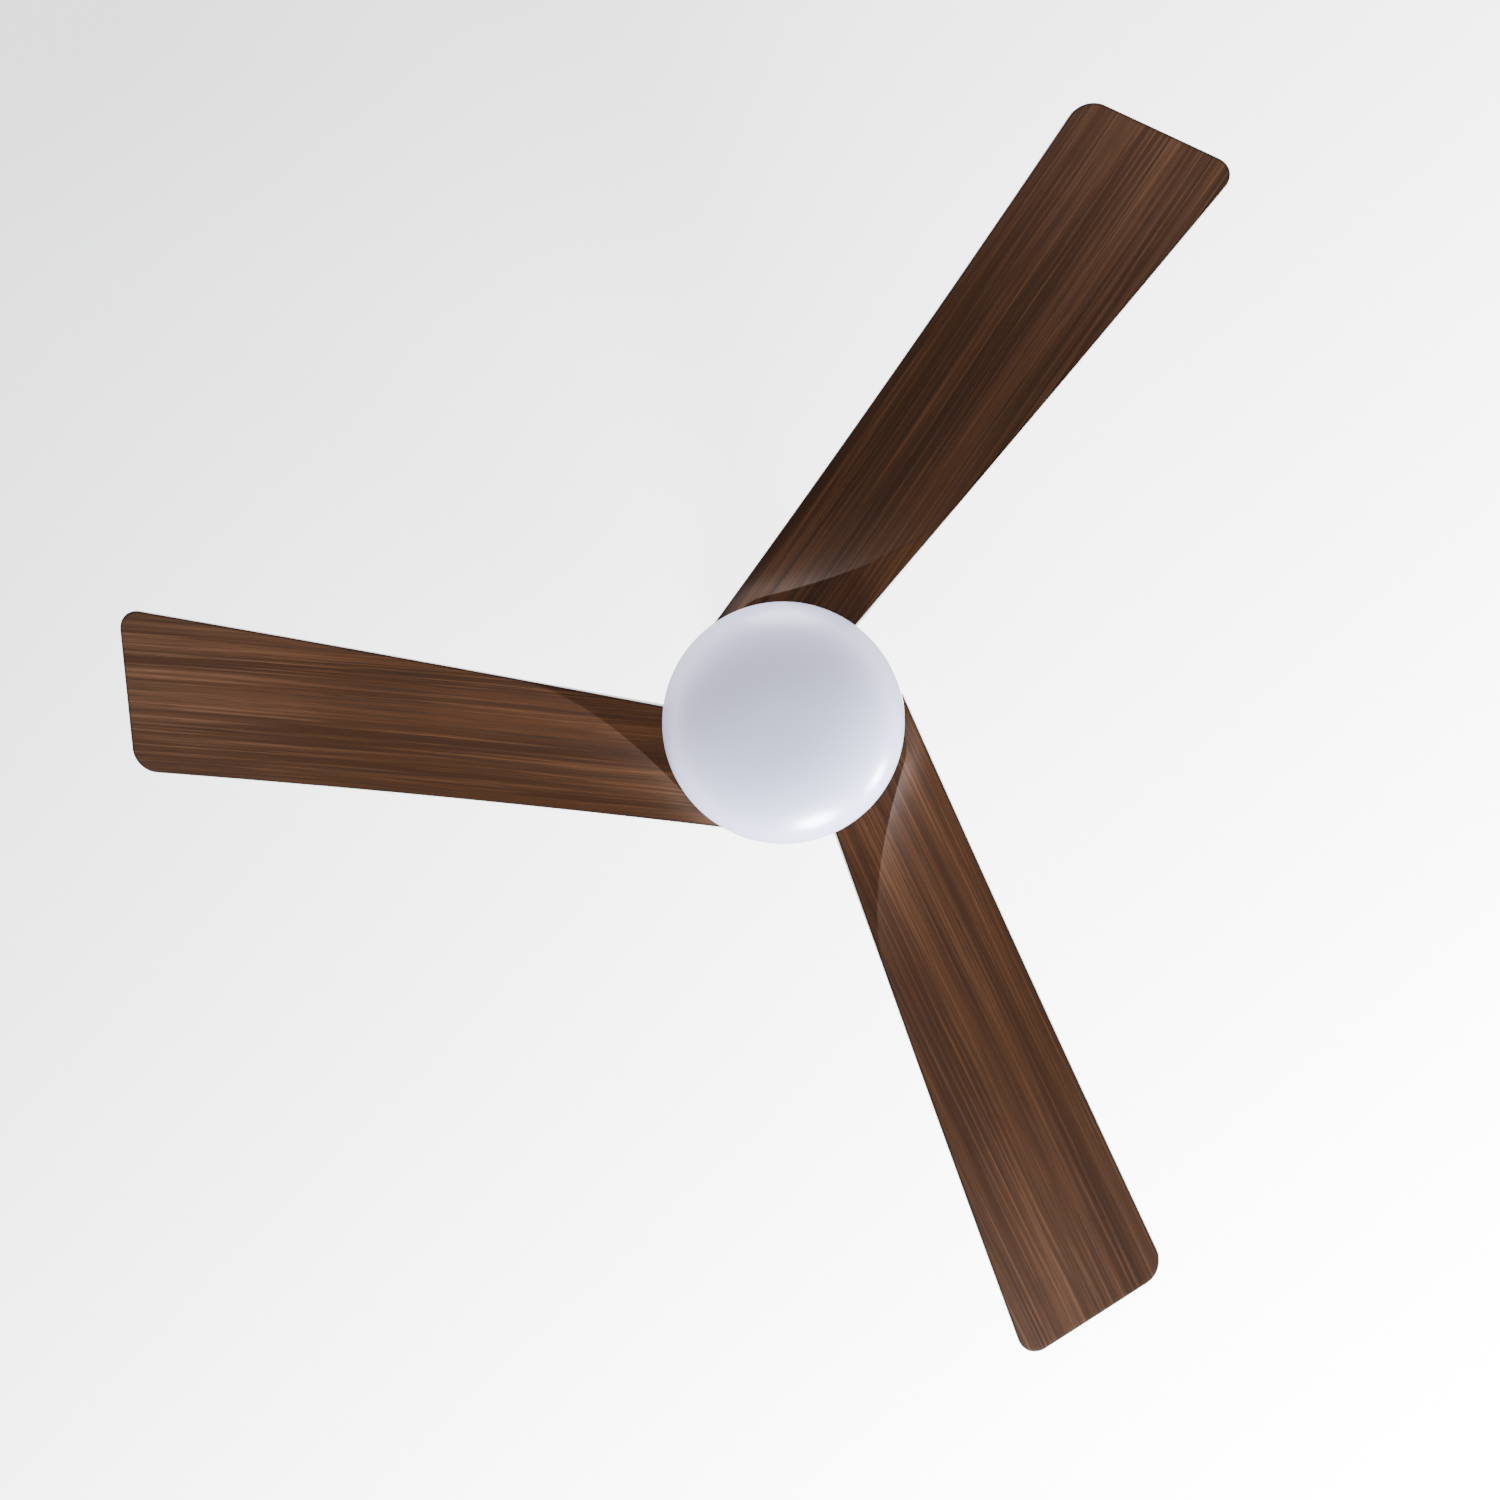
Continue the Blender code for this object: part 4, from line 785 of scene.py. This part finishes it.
neck = [[NECK_IN_R + 0.0006, SHOULDER_Z - 0.0022], [NECK_IN_R, SHOULDER_Z - 0.0015],
        [NECK_IN_R, DOME_TOP - 0.0003], [NECK_IN_R + EASE, DOME_TOP], [NECK_OUT_R - EASE, DOME_TOP],
        [NECK_OUT_R, DOME_TOP - EASE], [NECK_OUT_R, SHOULDER_Z], [SHOULDER_R - 0.0005, SHOULDER_Z],
        [SHOULDER_R, SHOULDER_Z - 0.0003]]
dome_outline = np.concatenate([neck, bowl_line(0.0), bowl_line(DOME_T)[::-1]])
dome = turned("opal_dome", dome_outline, sides=256, material=FINISH["opal"])
dress(dome, "diffuser", "diffuser_dome")
print("the dome's outline has", len(dome_outline), "points")

# %% [markdown]
# ## The round metal pieces
#
# The pan, the housing, the canopy, the cover and the rod are spun or drawn sheet metal: one wall
# thickness, with soft bends. Each is a closed outline of its outside and its inside, turned about
# the axis. Where a corner has a fillet, it is the third number of its (radius, z, fillet).

# %% Light pan
BORE_R = 0.0088                             # the motor's shaft goes through the pan and the housing
PAN_WALL, PAN_FLOOR = 0.0013, 0.0015
PAN_INNER_R = PAN_R - PAN_WALL
pan = turned("lamp_pan", rounded([
    (BORE_R, PAN_TOP, 0.0), (PAN_R, PAN_TOP, 0.0045), (PAN_R, PAN_LOW, 0.0006),
    (PAN_INNER_R, PAN_LOW, 0.0006), (PAN_INNER_R, PAN_TOP - PAN_FLOOR, 0.0032),
    (BORE_R, PAN_TOP - PAN_FLOOR, 0.0)]), sides=192, material=FINISH["white"])
dress(pan, "hanging_body", "light_pan")

# %% Motor housing
HOUSING_WALL = 0.0015
CROWN_R, SLOPE_R, SLOPE_IN_R = 0.050, 0.088, 0.087
SLOPE_DROP, SHOULDER_DROP = 0.0018, 0.0190
HOUSING_INNER_R = HOUSING_R - HOUSING_WALL
housing = turned("motor_cover", rounded([
    (BORE_R, HOUSING_TOP, 0.0), (CROWN_R, HOUSING_TOP, 0.006),
    (SLOPE_R, HOUSING_TOP - SLOPE_DROP, 0.030), (HOUSING_R, HOUSING_TOP - SHOULDER_DROP, 0.022),
    (HOUSING_R, HOUSING_LOW, 0.0012), (HOUSING_INNER_R, HOUSING_LOW, 0.0003),
    (HOUSING_INNER_R, HOUSING_TOP - SHOULDER_DROP - 0.0005, 0.020),
    (SLOPE_IN_R, HOUSING_TOP - SLOPE_DROP - HOUSING_WALL, 0.028),
    (CROWN_R, HOUSING_TOP - HOUSING_WALL, 0.005), (BORE_R, HOUSING_TOP - HOUSING_WALL, 0.0)],
    steps=12), sides=224, material=FINISH["white"])
dress(housing, "hanging_body", "motor_housing")

# %% Canopy
CANOPY_BEND_Z = -0.024                      # the straight rim ends and the bowl starts
CANOPY_FLOOR_R, CANOPY_HOLE_R = 0.032, 0.0302
SHEET_WALL = 0.0012
LINE_STEPS = 40


def canopy_line(inset):
    """The canopy's wall: a straight rim, then a quarter ellipse in to the hole."""
    outer, low = CANOPY_R - inset, CANOPY_LOW + inset
    angle = np.linspace(0, math.pi / 2, LINE_STEPS)
    bowl = np.stack([CANOPY_FLOOR_R + (outer - CANOPY_FLOOR_R) * np.cos(angle),
                     CANOPY_BEND_Z + (low - CANOPY_BEND_Z) * np.sin(angle)], -1)
    return np.concatenate([[[outer, CANOPY_TOP]], bowl, [[CANOPY_HOLE_R, low]]])


canopy = turned("ceiling_canopy", np.concatenate([canopy_line(0.0), canopy_line(SHEET_WALL)[::-1]]),
                sides=192, material=FINISH["white"])
dress(canopy, "ceiling_mount", "canopy")

# %% Coupling cover and downrod
COVER_NECK_R, COVER_BORE_R = 0.0140, 0.0115
BELL_FLARE, BELL_DROP = 0.55, 1.1           # powers of the way down the bell
ROD_BORE_R = 0.0085


def bell_line(inset):
    """The coupling cover's bell: a neck that flares out to the housing."""
    s = np.linspace(0, 1, LINE_STEPS)
    top, mouth = COVER_TOP - inset, COVER_R - inset
    return np.stack([COVER_NECK_R + (mouth - COVER_NECK_R) * s ** BELL_FLARE,
                     top + (COVER_LOW - top) * s ** BELL_DROP], -1)


cover_outline = np.concatenate([[[COVER_BORE_R, COVER_TOP]], bell_line(0.0),
                                bell_line(SHEET_WALL)[::-1],
                                [[COVER_BORE_R, COVER_TOP - SHEET_WALL]]])
cover = turned("rod_cover", cover_outline, sides=160, material=FINISH["white"])
dress(cover, "cover_body", "coupling_cover")
rod = turned("hanging_rod", rounded([
    (ROD_BORE_R, ROD_TOP, 0.0004), (ROD_R, ROD_TOP, 0.0008), (ROD_R, ROD_LOW, 0.0008),
    (ROD_BORE_R, ROD_LOW, 0.0004)]), sides=96, material=FINISH["white"])
dress(rod, "hanging_body", "downrod")

# %% [markdown]
# ## The stage
#
# The fan hangs from a white ceiling over a pale floor. The ceiling would hide the fan from every
# camera above it, so it lets the light and the cameras behind it through: its material is clear
# from the back, and only the camera sees it at all. What lights the fan's top instead is the pale
# sky of the world, as a bright ceiling would. The ceiling's paint glows with painted light, which
# grows towards the windows and stands in for the daylight that falls on it.

# %% Stage
FLOOR_Z, FLOOR_HALF = -2.75, 30.0
CEILING_Z, CEILING_HALF = 0.004, 7.0
FLOOR_TONE, CEILING_TONE = (0.50, 0.50, 0.49), (0.84, 0.84, 0.83)
STAGE_SPECULAR = 0.2
CEILING_PAINTED_LIGHT_TONE = (1.0, 0.995, 0.985, 1)
CEILING_PAINTED_LIGHT, CEILING_PAINTED_LIGHT_GROWTH = 4.0, 2.3                # painted light: the ceiling's glow over the fan, and its growth in each metre of x + y
CEILING_PAINTED_LIGHT_NEAREST, CEILING_PAINTED_LIGHT_FURTHEST = -1.5, 1.6     # it stays the same past these


def stage_plane(name, z, half, material):
    """A flat square that isn't part of the object, facing up, which only the camera sees."""
    corners = np.array([[-half, -half, z], [half, -half, z], [half, half, z], [-half, half, z]])
    plane = mesh_object(name, corners, np.array([[0, 1, 2, 3]]), (material,), smooth=False)
    for ray in ("diffuse", "glossy", "transmission", "volume_scatter", "shadow"):
        setattr(plane, f"visible_{ray}", False)
    return plane


def plain_paint(name, tone, roughness):
    """A material of one plain tone, and its shader."""
    material = bpy.data.materials.new(name)
    material.use_nodes = True
    shader = material.node_tree.nodes["Principled BSDF"]
    set_plain(shader, Base_Color=(*tone, 1), Roughness=roughness, Specular_IOR_Level=STAGE_SPECULAR)
    return material, shader


floor_paint, _ = plain_paint("floor_paint", FLOOR_TONE, 0.8)
stage_plane("stage_floor", FLOOR_Z, FLOOR_HALF, floor_paint)

ceiling_paint, shader = plain_paint("ceiling_paint", CEILING_TONE, 0.9)
w = Wiring(ceiling_paint.node_tree)
# Painted light: the ceiling's emission grows towards the windows, standing in for the daylight that falls on
# it.
spot = w.node("SeparateXYZ", sockets={"Vector": w.node("TexCoord").outputs["Object"]})
toward_window = w.math("ADD", spot.outputs["X"], spot.outputs["Y"])
toward_window = w.math("MAXIMUM", w.math("MINIMUM", toward_window, CEILING_PAINTED_LIGHT_FURTHEST), CEILING_PAINTED_LIGHT_NEAREST)
set_plain(shader, Emission_Color=CEILING_PAINTED_LIGHT_TONE)
w.feed(w.math("MULTIPLY", w.math("POWER", CEILING_PAINTED_LIGHT_GROWTH, toward_window), CEILING_PAINTED_LIGHT),
       shader.inputs["Emission Strength"])
through = w.node("BsdfTransparent").outputs[0]
mixer = w.node("MixShader", sockets={"Fac": w.node("NewGeometry").outputs["Backfacing"]})
w.feed(shader.outputs[0], mixer.inputs[1])
w.feed(through, mixer.inputs[2])
w.feed(mixer.outputs[0], ceiling_paint.node_tree.nodes["Material Output"].inputs["Surface"])
ceiling = stage_plane("stage_ceiling", CEILING_Z, CEILING_HALF, ceiling_paint)
ceiling.data.flip_normals()
print(f"the floor lies {-FLOOR_Z:.2f} m under the ceiling")

# %% [markdown]
# ## Light
#
# The room's light is daylight from two windows on one side, a soft glow off the wall on another,
# and what all the walls give. The last is the world: it is brightest level with the fan, falls off
# up and down, and is a little stronger above the horizon than below. Each window is a round area
# light, because a square one would leave square glints on the lamp's dome.

# %% Lights and world
AIM = np.array([0.0, 0.0, BLADE_Z])
WINDOW_DISTANCE = 3.0
DAYLIGHT = (0.84, 0.93, 1.0)
WALL_TONE = (0.99, 0.985, 1.0, 1)
LEVEL_STRENGTH, LEVEL_POWER = 3.4, 3.0
BELOW_STRENGTH, ABOVE_STRENGTH = 0.45, 1.0
HORIZON = (-0.04, 0.10)                     # the height over which below becomes above


def window(name, heading, z, size, watts):
    """A round area light at a compass heading from the fan, turned towards it."""
    turn = math.radians(heading)
    place = np.array([WINDOW_DISTANCE * math.cos(turn), WINDOW_DISTANCE * math.sin(turn), z])
    light = bpy.data.lights.new(name, "AREA")
    light.shape, light.size, light.energy, light.color = "DISK", size, watts, DAYLIGHT
    obj = bpy.data.objects.new(name, light)
    bpy.context.scene.collection.objects.link(obj)
    back = (place - AIM) / np.linalg.norm(place - AIM)
    side = np.cross((0, 0, 1), back)
    side = side / np.linalg.norm(side)
    facing = Matrix(np.stack([side, np.cross(back, side), back], 1).tolist()).to_4x4()
    obj.matrix_world = Matrix.Translation(place) @ facing
    obj.visible_camera = False


window("window_far", heading=74.0, z=-0.92, size=1.05, watts=350)
window("window_near", heading=32.0, z=-0.26, size=0.78, watts=165)
window("wall_glow", heading=268.0, z=-0.45, size=2.2, watts=80)

world = bpy.data.worlds.new("room")
world.use_nodes = True
w = Wiring(world.node_tree)
direction = w.node("SeparateXYZ", sockets={"Vector": w.node("TexCoord").outputs["Generated"]})
height = direction.outputs["Z"]
backdrop = world.node_tree.nodes["Background"]
backdrop.inputs["Color"].default_value = WALL_TONE
near_level = w.math("POWER", w.math("SUBTRACT", 1.0, w.math("ABSOLUTE", height)), LEVEL_POWER)
above = w.stretch(height, *HORIZON, BELOW_STRENGTH, ABOVE_STRENGTH)
w.feed(w.math("ADD", w.math("MULTIPLY", near_level, LEVEL_STRENGTH), above),
       backdrop.inputs["Strength"])
bpy.context.scene.world = world
print("lights:", ", ".join(light.name for light in bpy.data.lights))

# %% [markdown]
# ## Camera
#
# The fan is seen from nearly straight below, as by somebody who holds a camera up towards it. The
# camera stands 1.8 m under the blades and a little to one side, and its lens is 45.6 mm.

# %% Camera
CAMERA_X, CAMERA_Y, CAMERA_DROP = 0.0904, -0.0814, 1.8054
CAMERA_TILT_DEG = (176.5214, -3.9576, 0.0)

camera_data = bpy.data.cameras.new("camera")
camera_data.lens = 45.6
camera_data.sensor_width = 36.0
camera = bpy.data.objects.new("camera", camera_data)
camera.location = (CAMERA_X, CAMERA_Y, BLADE_Z - CAMERA_DROP)
camera.rotation_euler = [math.radians(degrees) for degrees in CAMERA_TILT_DEG]
bpy.context.scene.collection.objects.link(camera)
bpy.context.scene.camera = camera
print("the camera stands at", [round(value, 3) for value in camera.location])

# %% Finish
bpy.context.view_layer.update()
